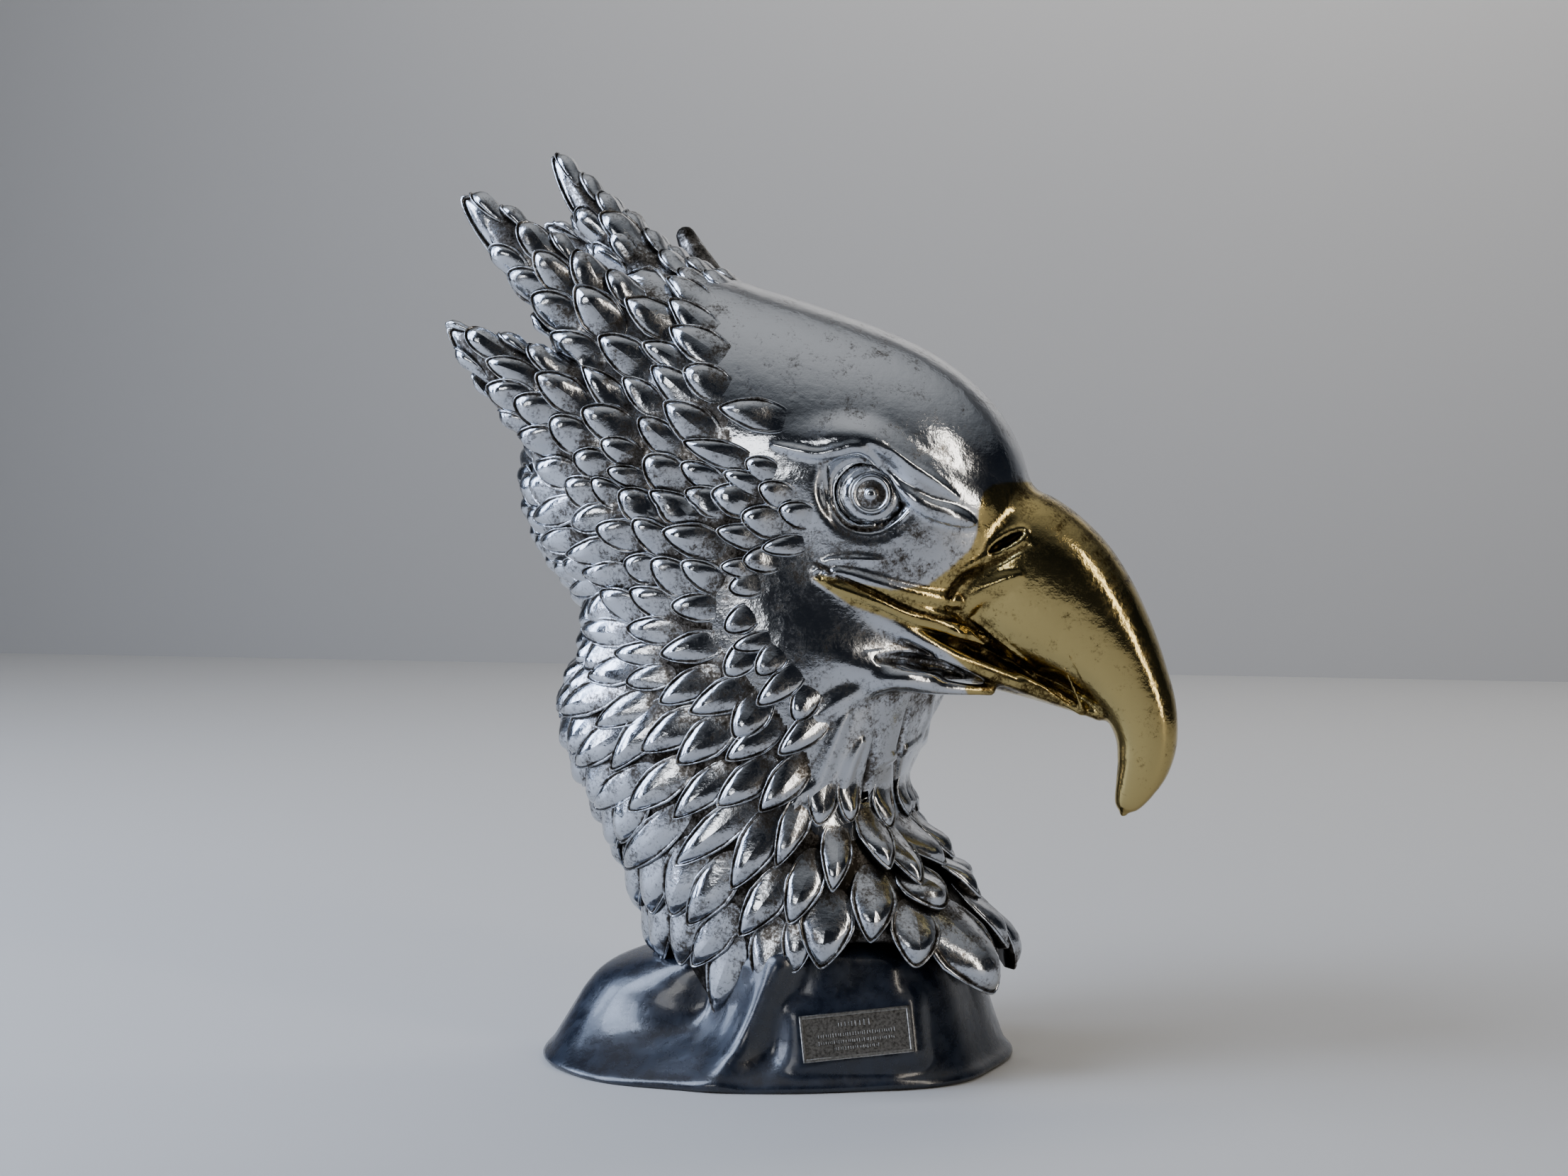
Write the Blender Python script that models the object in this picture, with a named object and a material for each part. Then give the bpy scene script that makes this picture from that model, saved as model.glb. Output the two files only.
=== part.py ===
"""Eagle bust sculpture: a feathered head on a rough mound, with a small plate on the mound's front.

The head is clay: rounded masses melted together as one distance field, feathers laid over it as
roof tiles, then skinned with facets. Tables of the form are in millimetres for a figure 252 mm
tall, x forward to the beak, y sideways, z up, and FIGURE_HEIGHT scales them all.
"""
import math

import bmesh
import bpy
import numpy as np
import openvdb
from mathutils import Matrix, Vector

FIGURE_HEIGHT = 0.252
TABLE_HEIGHT = 252.0
UNIT = FIGURE_HEIGHT / TABLE_HEIGHT
CENTRE_SHIFT = np.array([-5.4, 0.2, 0.0])
# Bare touching meshes keep this gap; the head's seat keeps more, because its facets are slanted.
JOINT_GAP = 0.0003
SEAT_GAP = 0.00045

BUST_FACETS = 7600
GRID_STEP = 0.0015
# Feathers of the head and the longer leaves at the foot of the neck.
FEATHER_LENGTH = 0.013
FEATHER_WIDTH = 0.0088
LEAF_LENGTH = 0.025
LEAF_WIDTH = 0.012
FEATHER_LIFT = 0.0022
FEATHER_SINK = 0.0008
FEATHER_CAMBER = 0.0005
RIM_OVERHANG = 0.004

PLATE_WIDTH = 0.0290
PLATE_HEIGHT = 0.0120
PLATE_THICKNESS = 0.0014
PLATE_SINK = 0.0005
PLATE_BORDER = 0.0009
PLATE_FIELD_DEPTH = 0.0004
PLATE_LEAN = math.radians(12)
PLATE_TURN = math.radians(19)
PLATE_TILT = math.radians(5)
SEAT_EASE = 0.007
FLANGE_HEIGHT = 0.0025
PLATE_CENTRE = (22.5, -36.9, 14.8)

# z, front x, back x and half width of the neck, from its foot up.
NECK = [
    (8, 50, -25, 33), (16, 53, -31, 35), (28, 55, -38, 36.5), (45, 46, -45, 38.5),
    (60, 33, -51.5, 39.5), (74, 27, -59, 40), (88, 32, -66.5, 40), (101, 35, -67, 39.8),
    (112, 34, -62, 39.5), (128, 16, -60, 39), (148, 0, -62, 39)]
# Upper x, z, lower x, z and half width, from the face to the hook.
BEAK = [
    (40, 158, 36, 122, 14), (54, 158, 47, 117, 16), (61.5, 156.5, 53, 112.5, 16.3),
    (73, 147.8, 62, 107, 15), (81.3, 137.5, 70, 103.5, 13.2), (88.2, 126, 77, 100, 11.3),
    (94.3, 114.5, 81.5, 96, 9.4), (98.6, 104, 84.5, 91.5, 8), (100.3, 94, 85.8, 86.5, 6.8),
    (99, 86, 85.6, 81, 5.6), (95.5, 79, 84.9, 76, 4.2), (91, 73, 84.5, 71.4, 2.8),
    (88, 70.3, 86, 69.8, 1.2)]
LOWER_BEAK = [
    (24, 122, 20, 108, 15), (44, 115, 40, 105, 13), (60, 108, 57, 101.5, 10.5),
    (72, 102.5, 70, 98, 8), (81, 96.8, 79.5, 95, 4)]
# Crest spikes: x, y, z, half width, half thickness and the way the flat side faces.
CREST_MIDDLE = [
    (-26, 0, 203, 18, 10, 1, 0, 1), (-44, 0, 216, 14, 8, 1, 0, 1), (-57.5, 0, 229, 9, 6, 1, 0, 1),
    (-66.5, 0, 240, 5, 3.6, 1, 0, 1), (-73.5, 0, 249.5, 1.5, 1.3, 1, 0, 1)]
CREST_UPPER = [
    (-42, 24, 193, 16, 9, 0, 1, 0.3), (-57, 28, 207, 11, 6, 0, 1, 0.3),
    (-70, 30.5, 219.5, 7, 4.2, 0, 1, 0.3), (-81, 31, 229.3, 3.6, 2.6, 0, 1, 0.3),
    (-87, 31, 234.3, 1.3, 1.2, 0, 1, 0.3)]
CREST_LOWER = [
    (-45, 29, 165, 15, 10, 0, 1, 0), (-60, 35, 178, 11.5, 6.5, 0, 1, 0), (-73, 38.5, 188, 7.5, 4.2, 0, 1, 0),
    (-82.5, 40, 195, 3.8, 2.6, 0, 1, 0), (-88, 40, 198.6, 1.3, 1.2, 0, 1, 0)]
HORN = [(-36, 30, 216, 5), (-43, 36, 226, 3.4), (-48, 38, 234.5, 1.3)]
# Bars: x, distance from the middle, z and radius.
BROW = [
    (-8, 30, 170, 3), (6, 30.5, 168, 3.6), (17, 30.5, 169, 3.8), (24, 29.5, 168, 3.8),
    (32, 26.5, 162, 3.6), (40, 22, 157, 3.4), (50, 15, 153, 3)]
UPPER_LIP = [(13, 27.5, 132, 2), (24, 26.5, 129, 2.6), (36, 23, 124.5, 2.8), (46, 17, 119, 3)]
LOWER_LIP = [
    (13, 27.5, 129, 1.8), (26, 26, 123, 2), (38, 22, 116, 2.2), (48, 16, 110.5, 2.2), (60, 11, 105.5, 2)]
MOUTH_SLIT = [
    (14, 29.5, 130.6, 1), (25, 29, 126, 1.2), (37, 25.5, 120.2, 1.2), (47, 20, 114.5, 1.2),
    (60, 14.5, 109, 1.2), (72, 11, 104, 1)]
BEAK_GROOVE = [
    (57, 15.5, 143, 1.2), (52.5, 18, 138, 1.5), (52, 18.5, 132, 1.6), (55, 18, 125.5, 1.5),
    (60, 17, 121, 1.2)]
JAW = [(0, 31, 118, 3), (18, 29, 111, 3.2), (34, 24, 106, 3), (46, 17, 103.5, 2.5)]
EYE_CENTRE = (24.4, 155)

# Corners of the clay grid, the length over which feathers thin out at the crest's tips, and how deep
# a feather reaches into the mass below it.
CLAY_LOW = (-98, 0, 6)
CLAY_HIGH = (108, 60, 258)
THIN_TIP = 24.0
LEAF_DEPTH = 3.0

# Where the smooth face ends and the feathers begin, as x and z around the face's centre.
FACE_CENTRE = (33.0, 140.0)
FACE_EDGE = [
    (64, 184), (20, 214), (-24, 211), (-18, 197), (-15, 188.6), (-6.2, 174.9), (-2, 162.6),
    (7.9, 150.3), (10, 142), (-2, 135), (-6, 124), (-0.6, 116), (6.5, 109), (9.3, 103.9),
    (13.6, 95), (9.3, 84.7), (16.4, 75), (26.2, 76), (40, 81), (55, 83), (95, 62), (150, 90),
    (170, 140), (130, 190)]
# Lower edge of the head's skirt: bearing in degrees from the front, on either side, and z.
RIM = [
    (0, 30), (20, 31), (42, 36), (63, 38), (85, 36.5), (100, 33.5), (110, 30), (118, 25), (127, 21),
    (140, 17.5), (151, 18.5), (169, 22), (180, 24)]
RIM_CENTRE = (8.0, 0.0)

# The mound's foot as seen from above, and rings up its side: share of the foot's radius, share of
# the shoulder's height, the last ones under the head.
FOOT = [
    (55.4, 13.5), (50, 26), (38, 39), (18, 47), (-6, 50), (-30, 47), (-52, 38), (-66, 22), (-72.5, 2),
    (-72, -16), (-66, -30), (-57, -39.8), (-45.2, -47), (-27.4, -49.4), (-14.4, -50), (5.6, -46.3),
    (24.6, -38.7), (43.2, -28.7), (49.9, -20), (53.7, -5.6)]
FOOT_CENTRE = (-5.0, -1.0)
FLANK_FRONT = [
    (0.985, 0.0), (1.0, 0.03), (0.99, 0.07), (0.955, 0.13), (0.925, 0.25), (0.9, 0.42), (0.88, 0.62),
    (0.865, 0.8), (0.835, 0.95), (0.7, 1.03), (0.45, 1.08), (0.2, 1.1)]
FLANK_HOLLOW = [
    (0.985, 0.0), (1.0, 0.03), (0.98, 0.08), (0.9, 0.16), (0.78, 0.26), (0.67, 0.37), (0.6, 0.52),
    (0.57, 0.72), (0.54, 0.92), (0.45, 1.03), (0.3, 1.08), (0.15, 1.1)]
FLANK_END = [
    (0.985, 0.0), (1.0, 0.03), (0.995, 0.07), (0.965, 0.15), (0.935, 0.27), (0.89, 0.45), (0.835, 0.65),
    (0.76, 0.82), (0.62, 0.96), (0.5, 1.02), (0.33, 1.07), (0.16, 1.1)]
# Bearing from the foot's centre in degrees, the shoulder's height, share of front and of hollow.
SHOULDER = [
    (0, 31, 0.5, 0), (20, 33, 0.8, 0), (50, 36, 1, 0), (80, 36, 0.95, 0.05), (100, 35, 0.45, 0.55),
    (120, 32, 0, 1), (140, 30, 0, 0.6), (160, 29.5, 0, 0.1), (180, 29.5, 0, 0)]
FOOT_STEPS = 64
# Folds down the flank: bearing at the foot, bearing at the shoulder, half width in degrees, depth.
FOLDS = [
    (-101, -80, 6, 3.0), (-88, -68, 6, -1.6), (-130, -118, 9, -1.5), (-43, -38, 5, 1.6),
    (-150, -145, 9, 1.5), (60, 72, 8, -2.2), (104, 90, 7, 2.6), (150, 150, 10, -2), (22, 24, 8, 1.2)]


def curve_through(rows, steps):
    """A smooth curve through the rows, with so many steps between each two."""
    p = np.array(rows, float)
    p = np.vstack([2 * p[0] - p[1], p, 2 * p[-1] - p[-2]])
    out = []
    for i in range(1, len(p) - 2):
        for t in np.linspace(0, 1, steps, endpoint=False):
            b = p[i + 1] - p[i - 1]
            c = 2 * p[i - 1] - 5 * p[i] + 4 * p[i + 1] - p[i + 2]
            d = -p[i - 1] + 3 * p[i] - 3 * p[i + 1] + p[i + 2]
            out.append(p[i] + 0.5 * (b * t + c * t * t + d * t ** 3))
    out.append(p[-2])
    return np.array(out)


class Clay:
    """Grid points of one half of the head; y is the distance from the middle."""

    def __init__(self, low, high, step):
        self.step = step
        self.low = np.array(low, float)
        axes = [np.arange(a, b + step, step, dtype=np.float32) for a, b in zip(low, high)]
        self.x, self.y, self.z = np.meshgrid(*axes, indexing="ij", sparse=True)
        self.shape = tuple(len(axis) for axis in axes)

    def window(self, low, high):
        """Slices of the grid between two corners."""
        start = np.maximum(np.floor((np.array(low) - self.low) / self.step), 0).astype(int)
        stop = np.maximum(np.ceil((np.array(high) - self.low) / self.step).astype(int) + 1, 0)
        return tuple(slice(a, min(b, n)) for a, b, n in zip(start, stop, self.shape))


def melt(a, b, reach):
    """Both masses, the valley between them filled over the reach."""
    h = np.clip(0.5 + 0.5 * (b - a) / reach, 0, 1)
    return b + (a - b) * h - reach * h * (1 - h)


def carve(a, b, reach):
    """The first mass without the second, its edge rounded over the reach."""
    return -melt(-a, b, reach)


def egg(clay, centre, radii, tilt=0.0):
    """An ellipsoid, nose down by the tilt in degrees."""
    dx, dy, dz = clay.x - centre[0], clay.y - centre[1], clay.z - centre[2]
    c, s = math.cos(math.radians(tilt)), math.sin(math.radians(tilt))
    u, w = dx * c - dz * s, dx * s + dz * c
    a, b, c = radii
    near = np.sqrt((u / a) ** 2 + (dy / b) ** 2 + (w / c) ** 2)
    slope = np.sqrt((u / a ** 2) ** 2 + (dy / b ** 2) ** 2 + (w / c ** 2) ** 2)
    return near * (near - 1) / np.maximum(slope, 1e-6)


def loft(clay, rows, power):
    """Rounded sections across a spine in the middle plane."""
    c = curve_through(rows, 8)
    mid, half = (c[:, 0:2] + c[:, 2:4]) / 2, (c[:, 0:2] - c[:, 2:4]) / 2
    deep, wide = np.linalg.norm(half, axis=1), c[:, 4]
    x, z = np.broadcast_arrays(clay.x[:, 0, :], clay.z[:, 0, :])
    best = np.full(x.shape, 1e9)
    off, width, depth, past = (np.zeros(x.shape) for _ in range(4))
    for i in range(len(mid) - 1):
        e = mid[i + 1] - mid[i]
        length = np.linalg.norm(e)
        t = ((x - mid[i][0]) * e[0] + (z - mid[i][1]) * e[1]) / length ** 2
        k = np.clip(t, 0, 1)
        qx, qz = x - mid[i][0] - k * e[0], z - mid[i][1] - k * e[1]
        n = np.array([-e[1], e[0]]) / length
        far = qx * qx + qz * qz
        m = far < best
        best = np.where(m, far, best)
        off = np.where(m, np.abs(qx * n[0] + qz * n[1]), off)
        width = np.where(m, wide[i] + k * (wide[i + 1] - wide[i]), width)
        depth = np.where(m, deep[i] + k * (deep[i + 1] - deep[i]), depth)
        past = np.where(m, (t - k) * length, past)
    off, width, depth, past = (a[:, None, :] for a in (off, width, depth, past))
    small = np.minimum(width, depth)
    f = (((clay.y / width) ** power + (off / depth) ** power) ** (1 / power) - 1) * small
    return np.where(past != 0, np.hypot(np.maximum(f + small, 0), past) - small, f)


def column(clay, rows, power):
    """Rounded level sections, one above the other."""
    c = curve_through(rows, 8)
    front, back, wide = (np.interp(clay.z, c[:, 0], c[:, k]) for k in (1, 2, 3))
    deep, mid = (front - back) / 2, (front + back) / 2
    r = ((clay.y / wide) ** power + (np.abs(clay.x - mid) / deep) ** power) ** (1 / power)
    f = (r - 1) * np.minimum(wide, deep) * 0.9
    return np.maximum(f, np.maximum(c[0, 0] - clay.z, clay.z - c[-1, 0]))


def bar(clay, rows):
    """A round or flattened bar through its rows; far off it is simply far."""
    c = curve_through(rows, 5)
    flat = c.shape[1] > 4
    p = c[:, :3]
    reach = c[:, 3].max() + 14
    win = clay.window(p.min(0) - reach, p.max(0) + reach)
    x, y, z = clay.x[win[0]], clay.y[:, win[1]], clay.z[:, :, win[2]]
    best = np.full(tuple(s.stop - s.start for s in win), 40.0)
    for i in range(len(p) - 1):
        e = p[i + 1] - p[i]
        length = np.linalg.norm(e)
        d = e / length
        r = (x - p[i][0], y - p[i][1], z - p[i][2])
        t = np.clip((r[0] * d[0] + r[1] * d[1] + r[2] * d[2]) / length, 0, 1)
        q = [a - t * b for a, b in zip(r, e)]
        size = c[i, 3] + t * (c[i + 1, 3] - c[i, 3])
        if flat:
            n = c[i, 5:8] - (c[i, 5:8] @ d) * d
            n = n / np.linalg.norm(n)
            s = np.cross(d, n)
            thick = c[i, 4] + t * (c[i + 1, 4] - c[i, 4])
            u = (q[0] * s[0] + q[1] * s[1] + q[2] * s[2]) / size
            v = (q[0] * n[0] + q[1] * n[1] + q[2] * n[2]) / thick
            w = (q[0] * d[0] + q[1] * d[1] + q[2] * d[2]) / thick
            far = (np.sqrt(u * u + v * v + w * w) - 1) * thick
        else:
            far = np.sqrt(q[0] ** 2 + q[1] ** 2 + q[2] ** 2) - size
        best = np.minimum(best, far)
    out = np.full(clay.shape, 40.0)
    out[win] = best
    return out


def head_mass(clay):
    """Skull, neck, crest, beak, lips, brow and eye as one smooth mass."""
    f = egg(clay, (19, 0, 150), (43, 30, 45))
    f = melt(f, egg(clay, (-20, 0, 166), (56, 38, 46), tilt=18), 20)
    f = melt(f, egg(clay, (4, 0, 126), (38, 31, 24), tilt=6), 14)
    f = melt(f, column(clay, NECK, 2.3), 12)
    f = melt(f, egg(clay, (-46, 0, 158), (32, 38, 32)), 12)
    f = melt(f, bar(clay, CREST_MIDDLE), 9)
    f = melt(f, bar(clay, CREST_UPPER), 6)
    f = melt(f, bar(clay, CREST_LOWER), 6)
    f = melt(f, loft(clay, BEAK, 2.3), 3.5)
    f = melt(f, loft(clay, LOWER_BEAK, 2.3), 3)
    f = melt(f, bar(clay, JAW), 4)
    f = melt(f, bar(clay, UPPER_LIP), 2.5)
    f = melt(f, bar(clay, LOWER_LIP), 2.5)
    f = melt(f, bar(clay, BROW), 5)
    x, z = EYE_CENTRE
    f = carve(f, egg(clay, (x + 0.6, 33, z), (13, 9, 11), tilt=20), 4)
    f = melt(f, egg(clay, (x, 21.5, z), (9, 7.5, 9)), 1.5)
    f = carve(f, bar(clay, MOUTH_SLIT), 1)
    return carve(f, bar(clay, BEAK_GROOVE), 1.5)


def around(points, centre, angles):
    """Radius towards each bearing of a closed outline, read off its smooth curve."""
    p = np.array(points, float) - centre
    ring = np.array(sorted(zip(np.arctan2(p[:, 1], p[:, 0]), np.hypot(p[:, 0], p[:, 1]))))
    turns = np.vstack([ring + [k, 0] for k in (-2 * math.pi, 0, 2 * math.pi)])
    c = curve_through(turns, 6)
    return np.interp(angles, c[:, 0], c[:, 1])


def beyond_face(x, z):
    """How far a point lies beyond the edge of the smooth face."""
    dx, dz = x - FACE_CENTRE[0], z - FACE_CENTRE[1]
    edge = around(FACE_EDGE, FACE_CENTRE, np.arctan2(dz, dx))
    return np.hypot(dx, dz) - edge


def skin(clay, f):
    """Points, quads and outward directions of both halves."""
    whole = np.concatenate([f[:, :0:-1], f], axis=1)
    grid = openvdb.FloatGrid()
    grid.copyFromArray(np.ascontiguousarray(whole / clay.step, np.float32))
    points, quads = grid.convertToQuads(0.0)
    slope = np.gradient(whole)
    at = np.clip(np.rint(points).astype(int), 0, np.array(whole.shape) - 1)
    out = np.stack([g[at[:, 0], at[:, 1], at[:, 2]] for g in slope], axis=1)
    out = out / np.maximum(np.linalg.norm(out, axis=1), 1e-6)[:, None]
    low = np.array([clay.low[0], -(clay.shape[1] - 1) * clay.step, clay.low[2]])
    return points * clay.step + low, quads[:, ::-1], out


def feather_places(points, out):
    """Feathers of one side, from the face outwards: place, direction, outward, length, width."""
    side = (points[:, 1] > -0.5) & (points[:, 2] > 18)
    p, n = points[side].astype(float), out[side].astype(float)
    far = beyond_face(p[:, 0], p[:, 2])
    ok = far > 2
    p, n, far = p[ok], n[ok], far[ok]
    drop = np.clip((150 - p[:, 2]) / 110, 0, 1)
    away = np.stack([p[:, 0] - FACE_CENTRE[0], 0.15 * p[:, 1], p[:, 2] - FACE_CENTRE[1]], axis=1)
    away /= np.linalg.norm(away, axis=1)[:, None]
    flow = away * (1 - 0.55 * drop)[:, None] + np.array([0, 0, -1.0]) * (0.55 * drop)[:, None]
    flow -= (flow * n).sum(1)[:, None] * n
    flow /= np.maximum(np.linalg.norm(flow, axis=1), 1e-6)[:, None]
    low = np.clip((118 - p[:, 2]) / 80, 0, 1)
    length = (FEATHER_LENGTH + (LEAF_LENGTH - FEATHER_LENGTH) * low) / UNIT
    width = (FEATHER_WIDTH + (LEAF_WIDTH - FEATHER_WIDTH) * low) / UNIT
    order = np.argsort(far, kind="stable")
    p, n, flow, length, width = (a[order] for a in (p, n, flow, length, width))
    cross = np.cross(n, flow)
    taken = np.zeros(len(p), bool)
    chosen = []
    for i in range(len(p)):
        if taken[i]:
            continue
        chosen.append(i)
        d = p - p[i]
        along = (d @ flow[i]) / (0.62 * length[i])
        over = (d @ cross[i]) / (0.9 * width[i])
        out_of = (d @ n[i]) / width[i]
        taken |= along ** 2 + over ** 2 + out_of ** 2 < 1
    return [(p[i], flow[i], n[i], length[i], width[i]) for i in chosen]


def lay_feathers(clay, smooth, rim, f, places):
    """Each feather is a leaf over the smooth mass, rising from its root to its tip."""
    for p, flow, n, length, width in places:
        cross = np.cross(n, flow)
        reach = 0.75 * length + 2
        win = clay.window(p - reach, p + reach)
        x, y, z = clay.x[win[0]] - p[0], clay.y[:, win[1]] - p[1], clay.z[:, :, win[2]] - p[2]
        a = (x * flow[0] + y * flow[1] + z * flow[2]) / length + 0.5
        b = x * cross[0] + y * cross[1] + z * cross[2]
        t = np.clip(a, 0, 1)
        half = 0.5 * width * np.sqrt(np.clip(4 * t * (1 - t), 0, 1)) * (1.12 - 0.35 * t)
        edge = np.maximum(np.abs(b) - half, np.maximum(-a, a - 1) * length)
        near_tip = min((p[0] - CLAY_LOW[0]) / THIN_TIP, (CLAY_HIGH[2] - p[2]) / THIN_TIP)
        lift = min(1, max(0.2, near_tip)) * FEATHER_LIFT / UNIT
        sink = FEATHER_SINK / UNIT
        rise = (lift + sink) * np.clip(t / 0.85, 0, 1) - sink
        crown = rise + FEATHER_CAMBER / UNIT * (1 - (b / np.maximum(half, 0.5)) ** 2)
        base = smooth[win]
        leaf = np.maximum(np.maximum(edge, base - crown), -(base + LEAF_DEPTH))
        leaf = np.maximum(leaf, rim[win[0], win[1]] - RIM_OVERHANG / UNIT - clay.z[:, :, win[2]])
        f[win] = np.minimum(f[win], leaf)


def head_facets():
    """The feathered head in table millimetres."""
    clay = Clay(CLAY_LOW, CLAY_HIGH, GRID_STEP / UNIT)
    smooth = head_mass(clay)
    bearing = np.degrees(np.abs(np.arctan2(clay.y - RIM_CENTRE[1], clay.x - RIM_CENTRE[0])))
    c = curve_through(RIM, 4)
    rim = np.interp(bearing, c[:, 0], c[:, 1])
    f = -melt(-smooth, clay.z - rim, 2)
    points, quads, out = skin(clay, f)
    places = feather_places(points, out)
    print("feathers on a side:", len(places))
    lay_feathers(clay, smooth, rim, f, places)
    whole = np.concatenate([f[:, :0:-1], f], axis=1)
    middle = f.shape[1] - 1
    whole[:, middle:] = np.minimum(whole[:, middle:], bar(clay, HORN))
    grid = openvdb.FloatGrid()
    grid.copyFromArray(np.ascontiguousarray(whole / clay.step, np.float32))
    points, quads = grid.convertToQuads(0.0)
    low = np.array([clay.low[0], -middle * clay.step, clay.low[2]])
    return points * clay.step + low, quads[:, ::-1]


def to_metres(points):
    """Table millimetres to metres, with the figure centred over the origin."""
    return (np.array(points, float) + CENTRE_SHIFT) * UNIT


def new_object(name, points, faces):
    mesh = bpy.data.meshes.new(name)
    mesh.from_pydata([tuple(p) for p in points], [], [tuple(int(i) for i in f) for f in faces])
    thing = bpy.data.objects.new(name, mesh)
    bpy.context.scene.collection.objects.link(thing)
    return thing


def apply_modifiers(thing):
    graph = bpy.context.evaluated_depsgraph_get()
    mesh = bpy.data.meshes.new_from_object(thing.evaluated_get(graph))
    thing.modifiers.clear()
    thing.data = mesh


def keep_largest(thing):
    """Only the largest of the mesh's separate shells stays, its faces triangles facing out."""
    bm = bmesh.new()
    bm.from_mesh(thing.data)
    left = set(bm.verts)
    shells = []
    while left:
        stack = [left.pop()]
        shell = set(stack)
        while stack:
            for edge in stack.pop().link_edges:
                for vert in edge.verts:
                    if vert in left:
                        left.discard(vert)
                        shell.add(vert)
                        stack.append(vert)
        shells.append(shell)
    shells.sort(key=len, reverse=True)
    loose = [v for shell in shells[1:] for v in shell]
    bmesh.ops.delete(bm, geom=loose, context="VERTS")
    bmesh.ops.triangulate(bm, faces=bm.faces)
    bmesh.ops.recalc_face_normals(bm, faces=bm.faces)
    bm.to_mesh(thing.data)
    bm.free()


def subtract(thing, cutter):
    cutter.hide_render = True
    cutter.display_type = "WIRE"
    cut = thing.modifiers.new("cut", "BOOLEAN")
    cut.operation = "DIFFERENCE"
    cut.solver = "EXACT"
    cut.object = cutter
    apply_modifiers(thing)


def reduce_facets(thing):
    """Fewer facets, the flattest going first."""
    reduce = thing.modifiers.new("reduce", "DECIMATE")
    reduce.ratio = BUST_FACETS / (2.0 * len(thing.data.polygons))
    apply_modifiers(thing)


def mound_rings():
    """Rings of points up the mound, in table millimetres."""
    angles = np.linspace(-math.pi, math.pi, FOOT_STEPS, endpoint=False)
    bearing = np.degrees(angles)
    radius = around(FOOT, FOOT_CENTRE, angles)
    c = curve_through(SHOULDER, 6)
    height, front, hollow = (np.interp(np.abs(bearing), c[:, 0], c[:, k]) for k in (1, 2, 3))
    front, hollow = np.clip(front, 0, 1), np.clip(hollow, 0, 1)
    end = 1 - front - hollow
    rings = []
    for a, b, e in zip(FLANK_FRONT, FLANK_HOLLOW, FLANK_END):
        share, level = (a[k] * front + b[k] * hollow + e[k] * end for k in (0, 1))
        up = np.clip(level / 0.9, 0, 1)
        r = radius * share
        for foot, top, spread, depth in FOLDS:
            off = (bearing - (foot + (top - foot) * up) + 180) % 360 - 180
            r = r + depth * np.exp(-(off / spread) ** 2) * np.clip(level / 0.25, 0, 1) * (1.3 - 0.6 * up)
        x, y = FOOT_CENTRE[0] + r * np.cos(angles), FOOT_CENTRE[1] + r * np.sin(angles)
        rings.append(np.stack([x, y, level * height], axis=1))
    return rings


def mound(name):
    """The mound: rings joined by triangles, closed by a crown on top and a flat underside."""
    rings = mound_rings()
    points = [p for ring in rings for p in ring]
    crown = len(points)
    top = rings[-1][:, 2].mean()
    points.append(np.array([FOOT_CENTRE[0], FOOT_CENTRE[1], top]))
    faces = []
    for k in range(len(rings) - 1):
        for i in range(FOOT_STEPS):
            a, b = k * FOOT_STEPS + i, k * FOOT_STEPS + (i + 1) % FOOT_STEPS
            faces.append((a, b, b + FOOT_STEPS))
            faces.append((a, b + FOOT_STEPS, a + FOOT_STEPS))
    last = (len(rings) - 1) * FOOT_STEPS
    for i in range(FOOT_STEPS):
        faces.append((last + i, last + (i + 1) % FOOT_STEPS, crown))
    faces.append(tuple(range(FOOT_STEPS - 1, -1, -1)))
    return new_object(name, to_metres(points), faces)


def plate_frame():
    """Where the plate's centre stands, x to the reader's right, y up the plate, z out of it."""
    turn = Matrix.Rotation(PLATE_TURN, 4, "Z") @ Matrix.Rotation(math.pi / 2 - PLATE_LEAN, 4, "X")
    centre = Vector(to_metres([PLATE_CENTRE])[0])
    return Matrix.Translation(centre) @ turn @ Matrix.Rotation(PLATE_TILT, 4, "Z")


def flatten_for_plate(thing, frame):
    """The mound's flank is flat where the plate sits, and eases back into its folds around it."""
    back = frame.inverted()
    face = PLATE_SINK - PLATE_THICKNESS / 2
    for v in thing.data.vertices:
        q = back @ v.co
        beside = max(abs(q.x) - PLATE_WIDTH / 2, 0)
        above = max(abs(q.y) - PLATE_HEIGHT / 2, 0)
        share = max(1 - math.hypot(beside, above) / SEAT_EASE, 0)
        if abs(q.z) < 2 * SEAT_EASE and v.co.z > FLANGE_HEIGHT:
            q.z += (face - q.z) * share * share * (3 - 2 * share)
            v.co = frame @ q


def grow(thing, distance):
    """Move every point outwards by the distance."""
    for v, normal in [(v, v.normal.copy()) for v in thing.data.vertices]:
        v.co += normal * distance


def box(name, size, frame, middle=0.0):
    """A box on the plate's axes, its middle so far out of the plate's."""
    x, y, z = (s / 2 for s in size)
    corners = [(a, b, c) for c in (-z, z) for b in (-y, y) for a in (-x, x)]
    faces = [(0, 2, 3, 1), (4, 5, 7, 6), (0, 1, 5, 4), (2, 6, 7, 3), (0, 4, 6, 2), (1, 3, 7, 5)]
    thing = new_object(name, [Vector(corner) + Vector((0, 0, middle)) for corner in corners], faces)
    thing.matrix_world = frame
    return thing


def plate(frame):
    """A thin plate with a raised border around its sunk face."""
    thing = box("plaque", (PLATE_WIDTH, PLATE_HEIGHT, PLATE_THICKNESS), frame)
    inside = (PLATE_WIDTH - 2 * PLATE_BORDER, PLATE_HEIGHT - 2 * PLATE_BORDER, 2 * PLATE_FIELD_DEPTH)
    subtract(thing, box("plate_field", inside, frame, middle=PLATE_THICKNESS / 2))
    return thing


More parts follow.
